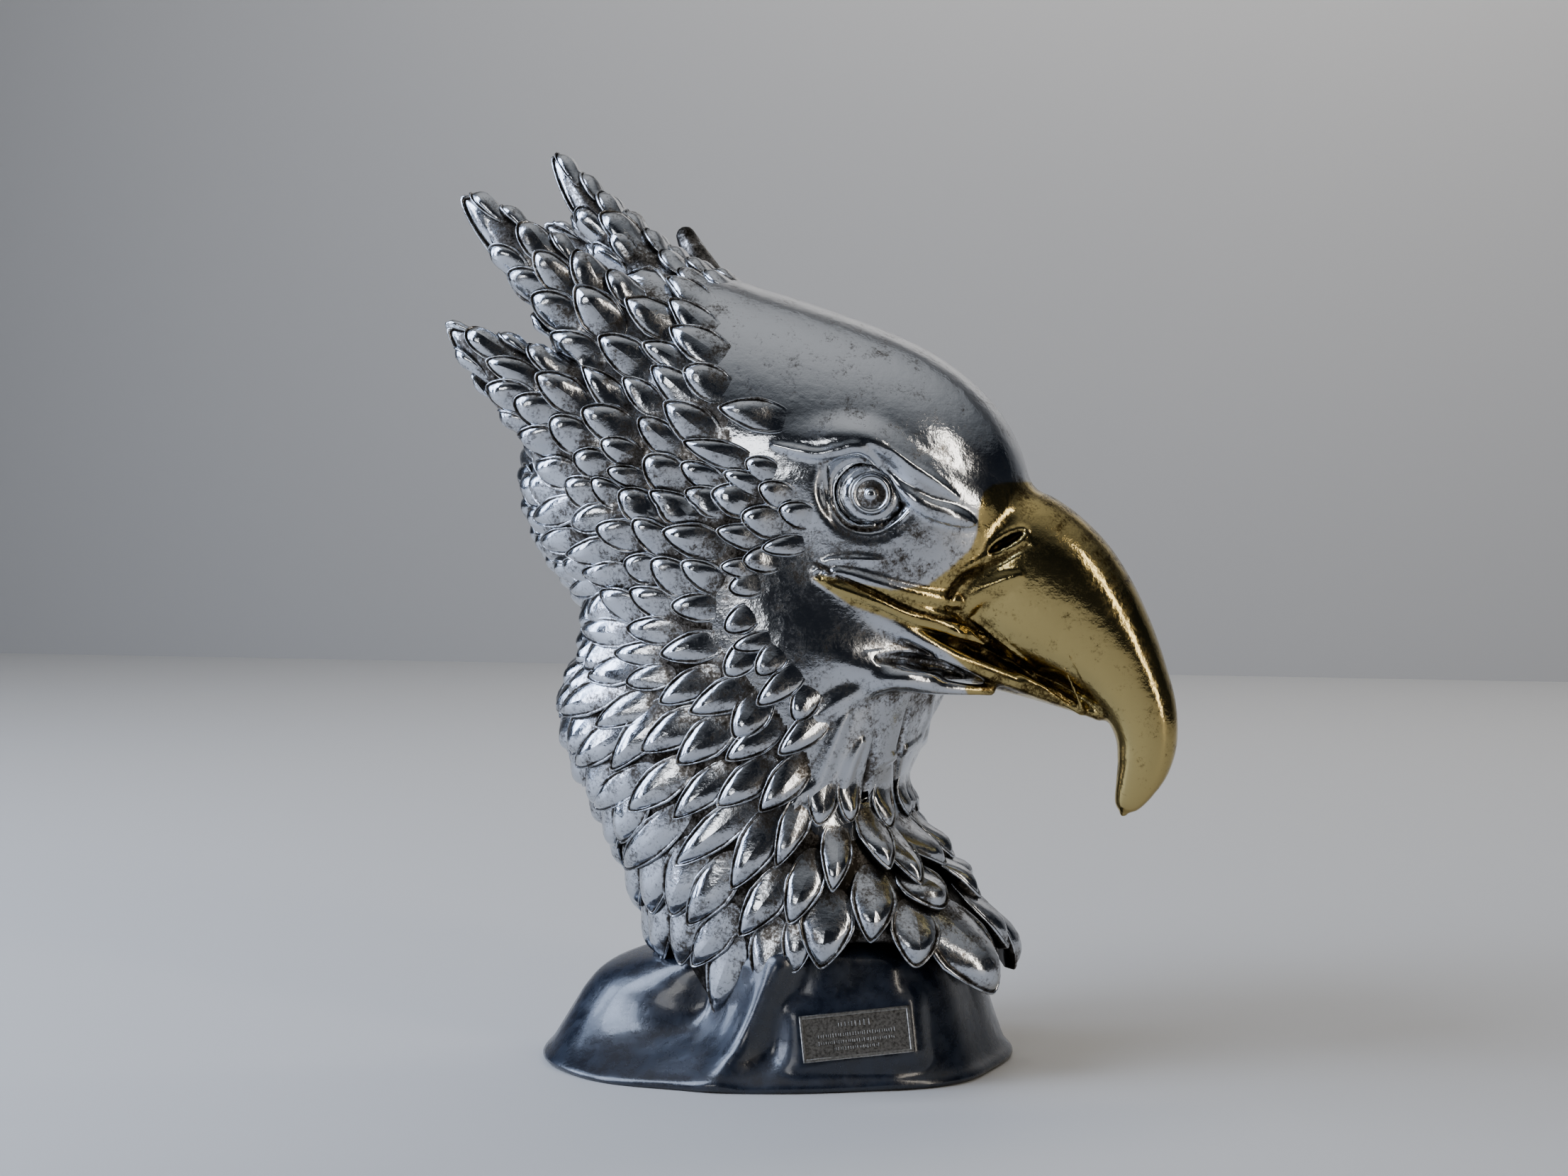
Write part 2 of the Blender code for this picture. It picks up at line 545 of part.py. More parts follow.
def to_linear(hex_colour):
    channels = [int(hex_colour[i:i + 2], 16) / 255 for i in (0, 2, 4)]
    return [c / 12.92 if c <= 0.04045 else ((c + 0.055) / 1.055) ** 2.4 for c in channels] + [1.0]


def paint(thing, name, hex_colour, metallic, roughness):
    """One plain material, and smooth shading up to the edges of the feathers."""
    material = bpy.data.materials.new(name)
    material.use_nodes = True
    shader = material.node_tree.nodes["Principled BSDF"]
    shader.inputs["Base Color"].default_value = to_linear(hex_colour)
    shader.inputs["Metallic"].default_value = metallic
    shader.inputs["Roughness"].default_value = roughness
    thing.data.materials.clear()
    thing.data.materials.append(material)
    thing.data.shade_smooth()
    thing.data.set_sharp_from_angle(angle=math.radians(40))


def build():
    for thing in list(bpy.data.objects):
        bpy.data.objects.remove(thing)
    frame = plate_frame()

    points, quads = head_facets()
    bust = new_object("eagle_bust", to_metres(points), quads)
    reduce_facets(bust)
    seat = mound("mound_seat")
    flatten_for_plate(seat, frame)
    grow(seat, SEAT_GAP)
    subtract(bust, seat)
    keep_largest(bust)
    paint(bust, "silver plate", "C9CCD1", 1.0, 0.18)

    base = mound("base")
    flatten_for_plate(base, frame)
    pocket = (PLATE_WIDTH + 2 * JOINT_GAP, PLATE_HEIGHT + 2 * JOINT_GAP, SEAT_EASE)
    floor = -PLATE_THICKNESS / 2 - JOINT_GAP
    subtract(base, box("plate_pocket", pocket, frame, middle=floor + SEAT_EASE / 2))
    keep_largest(base)
    paint(base, "dark blue lacquer", "10131C", 0.0, 0.12)

    plaque = plate(frame)
    keep_largest(plaque)
    paint(plaque, "pewter", "A9A6A0", 1.0, 0.35)

    whole = bpy.data.objects.new("sculpture", None)
    bpy.context.scene.collection.objects.link(whole)
    for thing in (bust, base, plaque):
        thing.parent = whole


build()
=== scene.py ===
"""The looks of the eagle bust sculpture, piece by piece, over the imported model's frame."""
import math

import bpy
import numpy as np
import openvdb
from mathutils import Matrix, Vector


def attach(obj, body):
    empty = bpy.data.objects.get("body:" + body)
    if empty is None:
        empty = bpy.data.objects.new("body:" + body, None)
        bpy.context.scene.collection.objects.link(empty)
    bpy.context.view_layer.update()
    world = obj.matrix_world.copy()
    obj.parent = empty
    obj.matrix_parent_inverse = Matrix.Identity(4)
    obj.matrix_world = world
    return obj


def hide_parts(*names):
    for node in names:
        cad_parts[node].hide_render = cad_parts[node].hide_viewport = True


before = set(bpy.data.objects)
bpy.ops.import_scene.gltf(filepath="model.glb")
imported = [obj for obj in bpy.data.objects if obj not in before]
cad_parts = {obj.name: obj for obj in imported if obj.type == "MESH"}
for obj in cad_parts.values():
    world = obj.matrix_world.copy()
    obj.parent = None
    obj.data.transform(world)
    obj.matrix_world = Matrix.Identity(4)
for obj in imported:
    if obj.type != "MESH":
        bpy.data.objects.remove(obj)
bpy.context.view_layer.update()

# The head's clay.
# The real head is one resin casting with a skin of polished silver, modelled by hand in clay. It is
# made here the same way: rounded masses melted together, in millimetres of a figure 252 mm tall.
FIGURE_HEIGHT = 0.252
TABLE_HEIGHT = 252.0
UNIT = FIGURE_HEIGHT / TABLE_HEIGHT
CENTRE_SHIFT = np.array([-5.4, 0.2, 0.0])

# z, front x, back x and half width of the neck, from its foot up.
NECK = [
    (8, 50, -25, 33), (16, 53, -31, 35), (28, 55, -38, 36.5), (45, 46, -45, 38.5),
    (60, 33, -51.5, 39.5), (74, 27, -59, 40), (88, 32, -66.5, 40), (101, 35, -67, 39.8),
    (112, 34, -62, 39.5), (128, 16, -60, 39), (148, 0, -62, 39)]
# Upper x, z, lower x, z and half width, from the face to the hook.
BEAK = [
    (40, 158, 36, 122, 14), (54, 158, 47, 117, 16), (61.5, 156.5, 53, 112.5, 16.3),
    (73, 147.8, 62, 107, 15), (81.3, 137.5, 70, 103.5, 13.2), (88.2, 126, 77, 100, 11.3),
    (94.3, 114.5, 81.5, 96, 9.4), (98.6, 104, 84.5, 91.5, 8), (100.3, 94, 85.8, 86.5, 6.8),
    (99, 86, 85.6, 81, 5.6), (95.5, 79, 84.9, 76, 4.2), (91, 73, 84.5, 71.4, 2.8),
    (88, 70.3, 86, 69.8, 1.2)]
LOWER_BEAK = [
    (24, 122, 20, 108, 15), (44, 115, 40, 105, 13), (60, 108, 57, 101.5, 10.5),
    (72, 102.5, 70, 98, 8), (81, 96.8, 79.5, 95, 4)]
# Crest spikes: x, y, z, half width, half thickness and the way the flat side faces.
CREST_MIDDLE = [
    (-26, 0, 203, 18, 10, 1, 0, 1), (-44, 0, 216, 14, 8, 1, 0, 1), (-57.5, 0, 229, 9, 6, 1, 0, 1),
    (-66.5, 0, 240, 5, 3.6, 1, 0, 1), (-73.5, 0, 249.5, 1.5, 1.3, 1, 0, 1)]
CREST_UPPER = [
    (-42, 24, 193, 16, 9, 0, 1, 0.3), (-57, 28, 207, 11, 6, 0, 1, 0.3),
    (-70, 30.5, 219.5, 7, 4.2, 0, 1, 0.3), (-81, 31, 229.3, 3.6, 2.6, 0, 1, 0.3),
    (-87, 31, 234.3, 1.3, 1.2, 0, 1, 0.3)]
CREST_LOWER = [
    (-45, 29, 165, 15, 10, 0, 1, 0), (-60, 35, 178, 11.5, 6.5, 0, 1, 0),
    (-73, 38.5, 188, 7.5, 4.2, 0, 1, 0), (-82.5, 40, 195, 3.8, 2.6, 0, 1, 0),
    (-88, 40, 198.6, 1.3, 1.2, 0, 1, 0)]
# Bars: x, distance from the middle, z and radius.
BROW = [
    (-8, 30, 170, 3), (6, 30.5, 168, 3.6), (17, 30.5, 169, 3.8), (24, 29.5, 168, 3.8),
    (32, 26.5, 162, 3.6), (40, 22, 157, 3.4), (50, 15, 153, 3)]
UPPER_LIP = [
    (13, 27.5, 132, 2), (24, 26.5, 129, 2.6), (36, 23, 124.5, 2.7), (46, 17, 119, 2.2),
    (53, 13.5, 115.5, 0.8)]
LOWER_LIP = [
    (13, 27.5, 129, 1.8), (26, 26, 123, 2), (38, 22, 116, 2.2), (48, 16, 110.5, 2.0), (60, 11, 105.5, 1.5),
    (70, 7.5, 101.5, 0.6)]
JAW = [
    (0, 31, 118, 3), (18, 29, 111, 3.2), (34, 24, 106, 2.8), (44, 18, 103.8, 1.8), (53, 12.5, 102.6, 0.7)]
EYE_CENTRE = (24.4, 155)
# Half sizes of the hollow round the eye and of the swelling in it.
EYE_HOLLOW, EYE_SWELL = (13, 9, 11), (9, 7.5, 9)
RIM = [
    (0, 30), (20, 31), (42, 36), (63, 38), (85, 36.5), (100, 33.5), (110, 30), (118, 25), (127, 21),
    (140, 17.5), (151, 18.5), (169, 22), (180, 24)]
RIM_CENTRE = (8.0, 0.0)


def curve_through(rows, steps):
    """A smooth curve through the rows, with so many steps between each two."""
    p = np.array(rows, float)
    p = np.vstack([2 * p[0] - p[1], p, 2 * p[-1] - p[-2]])
    out = []
    for i in range(1, len(p) - 2):
        for t in np.linspace(0, 1, steps, endpoint=False):
            b = p[i + 1] - p[i - 1]
            c = 2 * p[i - 1] - 5 * p[i] + 4 * p[i + 1] - p[i + 2]
            d = -p[i - 1] + 3 * p[i] - 3 * p[i + 1] + p[i + 2]
            out.append(p[i] + 0.5 * (b * t + c * t * t + d * t ** 3))
    out.append(p[-2])
    return np.array(out)


class Clay:
    """Grid points of one half of the head; y is the distance from the middle."""

    def __init__(self, low, high, step):
        self.step = step
        self.low = np.array(low, float)
        axes = [np.arange(a, b + step, step, dtype=np.float32) for a, b in zip(low, high)]
        self.x, self.y, self.z = np.meshgrid(*axes, indexing="ij", sparse=True)
        self.shape = tuple(len(axis) for axis in axes)

    def window(self, low, high):
        """Slices of the grid between two corners."""
        start = np.maximum(np.floor((np.array(low) - self.low) / self.step), 0).astype(int)
        stop = np.maximum(np.ceil((np.array(high) - self.low) / self.step).astype(int) + 1, 0)
        return tuple(slice(min(a, n), min(b, n)) for a, b, n in zip(start, stop, self.shape))


def melt(a, b, reach):
    """Both masses, the valley between them filled over the reach."""
    h = np.clip(0.5 + 0.5 * (b - a) / reach, 0, 1)
    return b + (a - b) * h - reach * h * (1 - h)


def carve(a, b, reach):
    """The first mass without the second, its edge rounded over the reach."""
    return -melt(-a, b, reach)


def egg(clay, centre, radii, tilt=0.0):
    """An ellipsoid, nose down by the tilt in degrees."""
    dx, dy, dz = clay.x - centre[0], clay.y - centre[1], clay.z - centre[2]
    c, s = math.cos(math.radians(tilt)), math.sin(math.radians(tilt))
    u, w = dx * c - dz * s, dx * s + dz * c
    a, b, c = radii
    near = np.sqrt((u / a) ** 2 + (dy / b) ** 2 + (w / c) ** 2)
    slope = np.sqrt((u / a ** 2) ** 2 + (dy / b ** 2) ** 2 + (w / c ** 2) ** 2)
    return near * (near - 1) / np.maximum(slope, 1e-6)


def loft(clay, rows, power):
    """Rounded sections across a spine in the middle plane."""
    c = curve_through(rows, 8)
    mid, half = (c[:, 0:2] + c[:, 2:4]) / 2, (c[:, 0:2] - c[:, 2:4]) / 2
    deep, wide = np.linalg.norm(half, axis=1), c[:, 4]
    x, z = np.broadcast_arrays(clay.x[:, 0, :], clay.z[:, 0, :])
    best = np.full(x.shape, 1e9, np.float32)
    off, width, depth, past = (np.zeros(x.shape, np.float32) for _ in range(4))
    for i in range(len(mid) - 1):
        e = mid[i + 1] - mid[i]
        length = np.linalg.norm(e)
        t = ((x - mid[i][0]) * e[0] + (z - mid[i][1]) * e[1]) / length ** 2
        k = np.clip(t, 0, 1)
        qx, qz = x - mid[i][0] - k * e[0], z - mid[i][1] - k * e[1]
        n = np.array([-e[1], e[0]]) / length
        far = qx * qx + qz * qz
        m = far < best
        best = np.where(m, far, best)
        off = np.where(m, np.abs(qx * n[0] + qz * n[1]), off)
        width = np.where(m, wide[i] + k * (wide[i + 1] - wide[i]), width)
        depth = np.where(m, deep[i] + k * (deep[i + 1] - deep[i]), depth)
        past = np.where(m, (t - k) * length, past)
    off, width, depth, past = (a[:, None, :].astype(np.float32) for a in (off, width, depth, past))
    small = np.minimum(width, depth)
    f = (((clay.y / width) ** power + (off / depth) ** power) ** (1 / power) - 1) * small
    return np.where(past != 0, np.hypot(np.maximum(f + small, 0), past) - small, f)


def column(clay, rows, power):
    """Rounded level sections, one above the other."""
    c = curve_through(rows, 8)
    front, back, wide = (np.interp(clay.z, c[:, 0], c[:, k]).astype(np.float32) for k in (1, 2, 3))
    deep, mid = (front - back) / 2, (front + back) / 2
    r = ((clay.y / wide) ** power + (np.abs(clay.x - mid) / deep) ** power) ** (1 / power)
    f = (r - 1) * np.minimum(wide, deep) * 0.9
    return np.maximum(f, np.maximum(c[0, 0] - clay.z, clay.z - c[-1, 0]))


def bar(clay, rows):
    """A round or flattened bar through its rows; far off it is simply far."""
    c = curve_through(rows, 5)
    flat = c.shape[1] > 4
    p = c[:, :3]
    out = np.full(clay.shape, 40.0, np.float32)
    reach = c[:, 3].max() + 14
    win = clay.window(p.min(0) - reach, p.max(0) + reach)
    if min(s.stop - s.start for s in win) < 1:
        return out
    x, y, z = clay.x[win[0]], clay.y[:, win[1]], clay.z[:, :, win[2]]
    best = np.full(tuple(s.stop - s.start for s in win), 40.0, np.float32)
    for i in range(len(p) - 1):
        e = (p[i + 1] - p[i])
        length = float(np.linalg.norm(e))
        d = e / length
        r = (x - float(p[i][0]), y - float(p[i][1]), z - float(p[i][2]))
        t = np.clip((r[0] * float(d[0]) + r[1] * float(d[1]) + r[2] * float(d[2])) / length, 0, 1)
        q = [a - t * float(b) for a, b in zip(r, e)]
        size = float(c[i, 3]) + t * float(c[i + 1, 3] - c[i, 3])
        if flat:
            n = c[i, 5:8] - (c[i, 5:8] @ d) * d
            n = n / np.linalg.norm(n)
            s = np.cross(d, n)
            thick = float(c[i, 4]) + t * float(c[i + 1, 4] - c[i, 4])
            u = (q[0] * float(s[0]) + q[1] * float(s[1]) + q[2] * float(s[2])) / size
            v = (q[0] * float(n[0]) + q[1] * float(n[1]) + q[2] * float(n[2])) / thick
            w = (q[0] * float(d[0]) + q[1] * float(d[1]) + q[2] * float(d[2])) / thick
            far = (np.sqrt(u * u + v * v + w * w) - 1) * thick
        else:
            far = np.sqrt(q[0] ** 2 + q[1] ** 2 + q[2] ** 2) - size
        best = np.minimum(best, far)
    out[win] = best
    return out


def head_mass(clay):
    """Skull, neck, crest, beak, lips, brow and eye as one smooth mass."""
    f = egg(clay, (19, 0, 150), (43, 30, 45))
    f = melt(f, egg(clay, (-20, 0, 166), (56, 38, 46), tilt=18), 20)
    f = melt(f, egg(clay, (4, 0, 126), (38, 31, 24), tilt=6), 14)
    f = melt(f, column(clay, NECK, 2.3), 12)
    f = melt(f, egg(clay, (-46, 0, 158), (32, 38, 32)), 12)
    f = melt(f, bar(clay, CREST_MIDDLE), 9)
    f = melt(f, bar(clay, CREST_UPPER), 6)
    f = melt(f, bar(clay, CREST_LOWER), 6)
    f = melt(f, loft(clay, BEAK, 2.3), 3.5)
    f = melt(f, loft(clay, LOWER_BEAK, 2.3), 3)
    f = melt(f, bar(clay, JAW), 4)
    f = melt(f, bar(clay, UPPER_LIP), 2.5)
    f = melt(f, bar(clay, LOWER_LIP), 2.5)
    f = melt(f, bar(clay, BROW), 5)
    x, z = EYE_CENTRE
    f = carve(f, egg(clay, (x + 0.6, 34.8, z), EYE_HOLLOW, tilt=20), 3)
    f = melt(f, egg(clay, (x, 21.5, z), EYE_SWELL), 1.5)
    return f


class Field:
    """A clay field with its slopes, read anywhere between its grid points."""

    def __init__(self, clay, f):
        self.low, self.step = clay.low, clay.step
        self.f = f.astype(np.float32)
        self.slopes = np.gradient(self.f, clay.step)

    def read(self, points):
        """Value and slope at points of either half."""
        side = np.where(points[:, 1] < 0, -1.0, 1.0)
        p = (np.stack([points[:, 0], np.abs(points[:, 1]), points[:, 2]], axis=1) - self.low) / self.step
        p = np.clip(p, 0, np.array(self.f.shape) - 1.001)
        i = p.astype(int)
        t = p - i
        out = []
        for grid in (self.f, *self.slopes):
            value = 0.0
            for corner in range(8):
                dx, dy, dz = corner & 1, corner >> 1 & 1, corner >> 2
                share = ((t[:, 0] if dx else 1 - t[:, 0]) * (t[:, 1] if dy else 1 - t[:, 1])
                         * (t[:, 2] if dz else 1 - t[:, 2]))
                value = value + share * grid[i[:, 0] + dx, i[:, 1] + dy, i[:, 2] + dz]
            out.append(value)
        slope = np.stack([out[1], out[2] * side, out[3]], axis=1)
        return out[0], slope

    def settle(self, points, rounds=3):
        """The points moved onto the surface, and the way out of it there."""
        for _ in range(rounds):
            value, slope = self.read(points)
            points = points - (value / np.maximum((slope ** 2).sum(1), 1e-3))[:, None] * slope
        value, slope = self.read(points)
        return points, slope / np.maximum(np.linalg.norm(slope, axis=1), 1e-6)[:, None]


def skin(clay, f):
    """Quads over both halves of the clay, in table millimetres."""
    whole = np.concatenate([f[:, :0:-1], f], axis=1)
    grid = openvdb.FloatGrid()
    grid.copyFromArray(np.ascontiguousarray(whole / clay.step, np.float32))
    points, quads = grid.convertToQuads(0.0)
    low = np.array([clay.low[0], -(clay.shape[1] - 1) * clay.step, clay.low[2]])
    points = points * clay.step + low
    a, b, c = (points[quads[:, k]] for k in range(3))
    lean = np.cross(b - a, c - b)
    volume = (lean * a).sum()
    return points, quads if volume > 0 else quads[:, ::-1]


def to_world(points):
    """World metres of points in table millimetres."""
    return (np.asarray(points, float) + CENTRE_SHIFT) * UNIT


def mesh_piece(name, points, faces, outward=None, tones=None):
    """An object of quads or triangles, with its shading and its tones at each point."""
    mesh = bpy.data.meshes.new(name)
    corners = faces.shape[1]
    mesh.vertices.add(len(points))
    mesh.vertices.foreach_set("co", to_world(points).astype(np.float32).ravel())
    mesh.loops.add(faces.size)
    mesh.loops.foreach_set("vertex_index", faces.astype(np.int32).ravel())
    mesh.polygons.add(len(faces))
    mesh.polygons.foreach_set("loop_start", np.arange(0, faces.size, corners, dtype=np.int32))
    mesh.update(calc_edges=True)
    mesh.shade_smooth()
    for tone, values in (tones or {}).items():
        layer = mesh.attributes.new(tone, "FLOAT", "POINT")
        layer.data.foreach_set("value", np.asarray(values, np.float32))
    if outward is not None:
        mesh.normals_split_custom_set_from_vertices(outward.astype(np.float32))
    piece = bpy.data.objects.new(name, mesh)
    bpy.context.scene.collection.objects.link(piece)
    return piece


def keep_points(points, faces, keep):
    """Only the faces whose corners are all kept, and their points."""
    faces = faces[keep[faces].all(axis=1)]
    used = np.unique(faces)
    place = np.full(len(points), -1)
    place[used] = np.arange(len(used))
    return points[used], place[faces], used


# The side that the figure is best known from: the camera looks at it from here, and the details of
# the face are placed as seen through it, in millimetres to the right of and above its aim.
VIEW_AIM = np.array([-6.375, -1.708, 129.3])
VIEW_DISTANCE = 645.0
VIEW_TURN, VIEW_PITCH = math.radians(15), math.radians(2)
BACK = np.array([math.sin(VIEW_TURN) * math.cos(VIEW_PITCH), -math.cos(VIEW_TURN) * math.cos(VIEW_PITCH),
                 math.sin(VIEW_PITCH)])
RIGHT = np.array([math.cos(VIEW_TURN), math.sin(VIEW_TURN), 0.0])
UP = np.cross(BACK, RIGHT)
VIEW_FROM = VIEW_AIM + VIEW_DISTANCE * BACK


def seen(field, places):
    """Points of the surface seen at these places, and the way out of it there."""
    places = np.asarray(places, float)
    rays = (VIEW_AIM + places[:, :1] * RIGHT + places[:, 1:2] * UP) - VIEW_FROM
    rays /= np.linalg.norm(rays, axis=1)[:, None]
    along = np.full(len(places), VIEW_DISTANCE - 75.0)
    for _ in range(90):
        value, _slope = field.read(VIEW_FROM + along[:, None] * rays)
        along = along + np.clip(value, -2, 2) * 0.8
    return field.settle(VIEW_FROM + along[:, None] * rays)


def stroke(clay, field, rows, sink):
    """A bar that follows the surface: rows of place right and up and radius, sunk by a share of it."""
    rows = np.asarray(rows, float)
    rows = curve_through(rows, 3)
    points, out = seen(field, rows[:, :2])
    radius = np.maximum(rows[:, 2], 0.15)
    centre = points - out * (sink * radius)[:, None]
    side = np.abs(centre[:, 1])
    return bar(clay, np.stack([centre[:, 0], side, centre[:, 2], radius], axis=1))


CORE_STEP = 1.3
FACE_STEP = 0.6
FACE_LOW, FACE_HIGH = (-34, 0, 58), (106, 48, 224)
# Strokes of the face, each row a place right and up as seen, and a radius.
BROW_RIBBON = [
    (-3.1, 39.5, 0.62), (3.7, 37.8, 1.50), (9.3, 36.9, 1.50), (15.3, 37.7, 2.12), (20.6, 38.4, 1.99),
    (24.9, 35.5, 1.62), (29.0, 31.1, 1.75), (33.3, 26.7, 2.24), (38.9, 22.4, 2.87), (45.2, 20.2, 3.12),
    (49.9, 18.6, 2.24), (51.9, 17.7, 1.12)]
BROW_FOLD = [
    (29.6, 38.2, 0.50), (35.2, 33.9, 1.25), (40.8, 30.2, 1.50), (45.2, 27.1, 1.00), (47.7, 25.2, 0.37)]
LID_OUTER = [
    (11.2, 34.2, 0.60), (11.7, 28.8, 0.70), (12.3, 23.8, 0.75), (14.0, 19.6, 0.80), (17.2, 16.3, 0.85),
    (22.3, 14.8, 0.90), (26.8, 15.3, 0.90), (30.6, 17.5, 0.85), (33.8, 20.4, 0.75), (35.3, 23.0, 0.55),
    (32.3, 27.1, 0.65), (29.7, 30.9, 0.70), (26.3, 34.3, 0.70), (23.0, 36.1, 0.70), (19.8, 36.9, 0.70),
    (14.7, 36.0, 0.65), (11.2, 34.2, 0.60)]
LID_INNER = [
    (12.9, 26.9, 0.62), (13.4, 30.1, 0.62), (15.0, 32.7, 0.62), (17.9, 34.6, 0.62), (21.1, 35.1, 0.62),
    (24.2, 34.3, 0.62), (26.8, 32.4, 0.62), (29.0, 29.5, 0.62), (30.0, 26.3, 0.62), (29.4, 22.4, 0.66),
    (27.4, 19.5, 0.70), (24.2, 17.3, 0.70), (21.1, 16.8, 0.70), (17.9, 17.6, 0.70), (15.0, 20.2, 0.66),
    (13.5, 23.4, 0.62), (12.9, 26.9, 0.62)]
CORNER_PIT = [(30.6, 19.9, 0.45), (31.6, 22.2, 0.95), (33.2, 23.2, 0.35)]
CORNER_FOLD = [
    (8.1, 4.3, 0.50), (12.1, 7.4, 0.87), (18.4, 7.9, 1.25), (24.6, 7.7, 0.87), (27.4, 7.6, 0.37)]
GAPE_UPPER = [
    (11.8, 3.5, 1.50), (15.9, 4.1, 1.62), (25.2, 1.4, 1.87), (34.6, -1.3, 2.24), (43.9, -3.2, 2.49),
    (48.9, -4.1, 1.87)]
GAPE_LOWER = [
    (9.0, 2.4, 0.70), (15.0, -0.1, 1.25), (26.9, -4.6, 1.50), (36.9, -9.1, 1.50), (49.4, -13.3, 1.40),
    (61.3, -22.1, 1.15), (74.3, -29.0, 0.85), (86.3, -37.0, 0.35)]
GAPE_SLIT = [
    (9.0, 6.9, 0.40), (15.0, 3.4, 0.50), (24.4, -1.1, 0.65), (36.4, -6.6, 0.70), (49.4, -9.6, 0.65),
    (56.8, -15.6, 0.65), (69.3, -25.0, 0.65), (79.3, -32.0, 0.50)]
NOSTRIL = [
    (56.8, 10.1, 0.45), (59.3, 11.6, 1.15), (61.8, 13.1, 1.25), (64.3, 14.6, 0.90), (65.8, 15.3, 0.30)]
NOSTRIL_RIM = [
    (55.8, 8.9, 0.45), (56.8, 11.8, 0.50), (59.3, 14.1, 0.50), (62.3, 15.9, 0.50), (65.8, 16.8, 0.45),
    (67.3, 15.6, 0.45), (65.3, 12.8, 0.50), (61.8, 10.6, 0.50), (58.8, 9.1, 0.50), (55.8, 8.6, 0.45)]
NOSTRIL_TAIL = [
    (56.1, 8.9, 0.60), (52.4, 6.9, 0.70), (48.9, 4.9, 0.50), (46.4, 3.9, 0.25)]
CERE_GROOVE = [
    (67.3, 11.8, 0.40), (63.3, 9.6, 0.65), (59.3, 7.4, 0.75), (54.9, 5.4, 0.80), (50.4, 3.4, 0.90),
    (47.9, 1.4, 1.00), (46.4, -0.6, 0.90), (45.1, -3.1, 0.70), (44.8, -5.9, 0.35)]
CERE_LOBE = [
    (50.1, -6.6, 1.50), (51.9, -3.1, 3.09), (55.8, -0.4, 2.79), (60.8, 2.1, 1.70), (64.8, 3.4, 0.60)]
BEAK_RIDGE = [
    (49.4, -6.6, 0.40), (54.4, -10.3, 0.60), (59.3, -14.3, 0.65), (64.8, -18.5, 0.65),
    (70.3, -22.6, 0.40)]
BEAK_RIDGE_LOWER = [
    (48.9, -8.3, 0.35), (53.9, -12.4, 0.50), (58.8, -16.5, 0.55), (64.3, -20.5, 0.55),
    (69.3, -24.2, 0.35)]
BEAK_FACET = [
    (71.6, -22.8, 0.30), (75.8, -26.0, 1.00), (80.8, -29.0, 1.15), (85.3, -31.5, 0.90),
    (88.3, -33.5, 0.30)]
JAW_RIDGE = [
    (22.9, -18.1, 0.30), (29.4, -17.1, 0.60), (36.9, -17.6, 0.70), (44.4, -19.6, 0.70),
    (51.4, -22.6, 0.20)]
JAW_RECESS = [
    (26.4, -19.8, 0.70), (34.4, -19.8, 1.30), (42.4, -21.1, 1.40), (49.4, -23.8, 0.70)]
THROAT_BAND = [
    (9.5, -35.5, 0.90), (13.5, -32.3, 2.00), (17.5, -30.0, 2.39), (21.9, -28.5, 2.49),
    (29.4, -26.0, 2.19), (38.4, -24.6, 1.70), (46.0, -24.1, 0.95), (51.5, -23.6, 0.25)]
THROAT_FOLD = [
    (17.5, -34.5, 0.40), (15.5, -38.0, 1.30), (12.9, -44.8, 1.60), (9.8, -52.5, 1.70), (6.3, -60.0, 1.30)]
THROAT_FOLD_SHORT = [(21.5, -42.5, 0.30), (19.3, -47.0, 1.00), (17.2, -53.0, 1.30), (15.6, -58.0, 0.90)]
THROAT_PLEAT = [(41.0, -29.5, 0.30), (40.4, -33.5, 0.90), (38.9, -41.0, 1.10), (37.6, -50.0, 0.90)]
THROAT_CREASE = [(25.5, -39.5, 0.25), (24.6, -45.5, 0.80), (23.0, -52.5, 0.90), (22.2, -58.0, 0.60)]
THROAT_VALLEY = [(34.5, -33.5, 0.30), (33.0, -40.5, 1.00), (31.5, -48.0, 1.10), (31.0, -55.0, 0.60)]
# Stroke, share of its radius that is sunk, reach of the melt around it, in the order of modelling.
RAISED = [
    (THROAT_FOLD, 0.6, 2.2), (THROAT_FOLD_SHORT, 0.6, 1.8), (THROAT_PLEAT, 0.5, 1.8),
    (THROAT_BAND, 0.55, 2.5), (CERE_LOBE, 0.45, 2.0), (GAPE_UPPER, 0.4, 0.8), (GAPE_LOWER, 0.4, 0.8),
    (BROW_RIBBON, 0.35, 0.7), (BROW_FOLD, 0.5, 0.8), (CORNER_FOLD, 0.4, 0.5), (LID_OUTER, 0.25, 0.5),
    (LID_INNER, 0.1, 0.4), (NOSTRIL_RIM, 0.1, 0.5), (NOSTRIL_TAIL, 0.3, 0.7), (BEAK_RIDGE, 0.3, 0.5),
    (BEAK_RIDGE_LOWER, 0.3, 0.5), (JAW_RIDGE, 0.2, 0.6)]
LID_GROOVE = [
    (12.4, 28.5, 0.15), (12.8, 23.6, 0.30), (14.4, 19.9, 0.38), (17.5, 17.0, 0.45), (21.5, 15.8, 0.50),
    (25.5, 16.3, 0.50), (28.9, 18.5, 0.50), (30.8, 21.0, 0.35)]
CARVED = [
    (LID_GROOVE, 0.1, 0.3), (CORNER_PIT, 0.3, 0.4), (JAW_RECESS, 0.0, 1.0), (THROAT_CREASE, 0.1, 1.2),
    (THROAT_VALLEY, 0.0, 1.6), (NOSTRIL, 0.9, 0.4),
    (CERE_GROOVE, -0.1, 0.7), (BEAK_FACET, -0.5, 0.6), (GAPE_SLIT, 0.1, 0.3)]
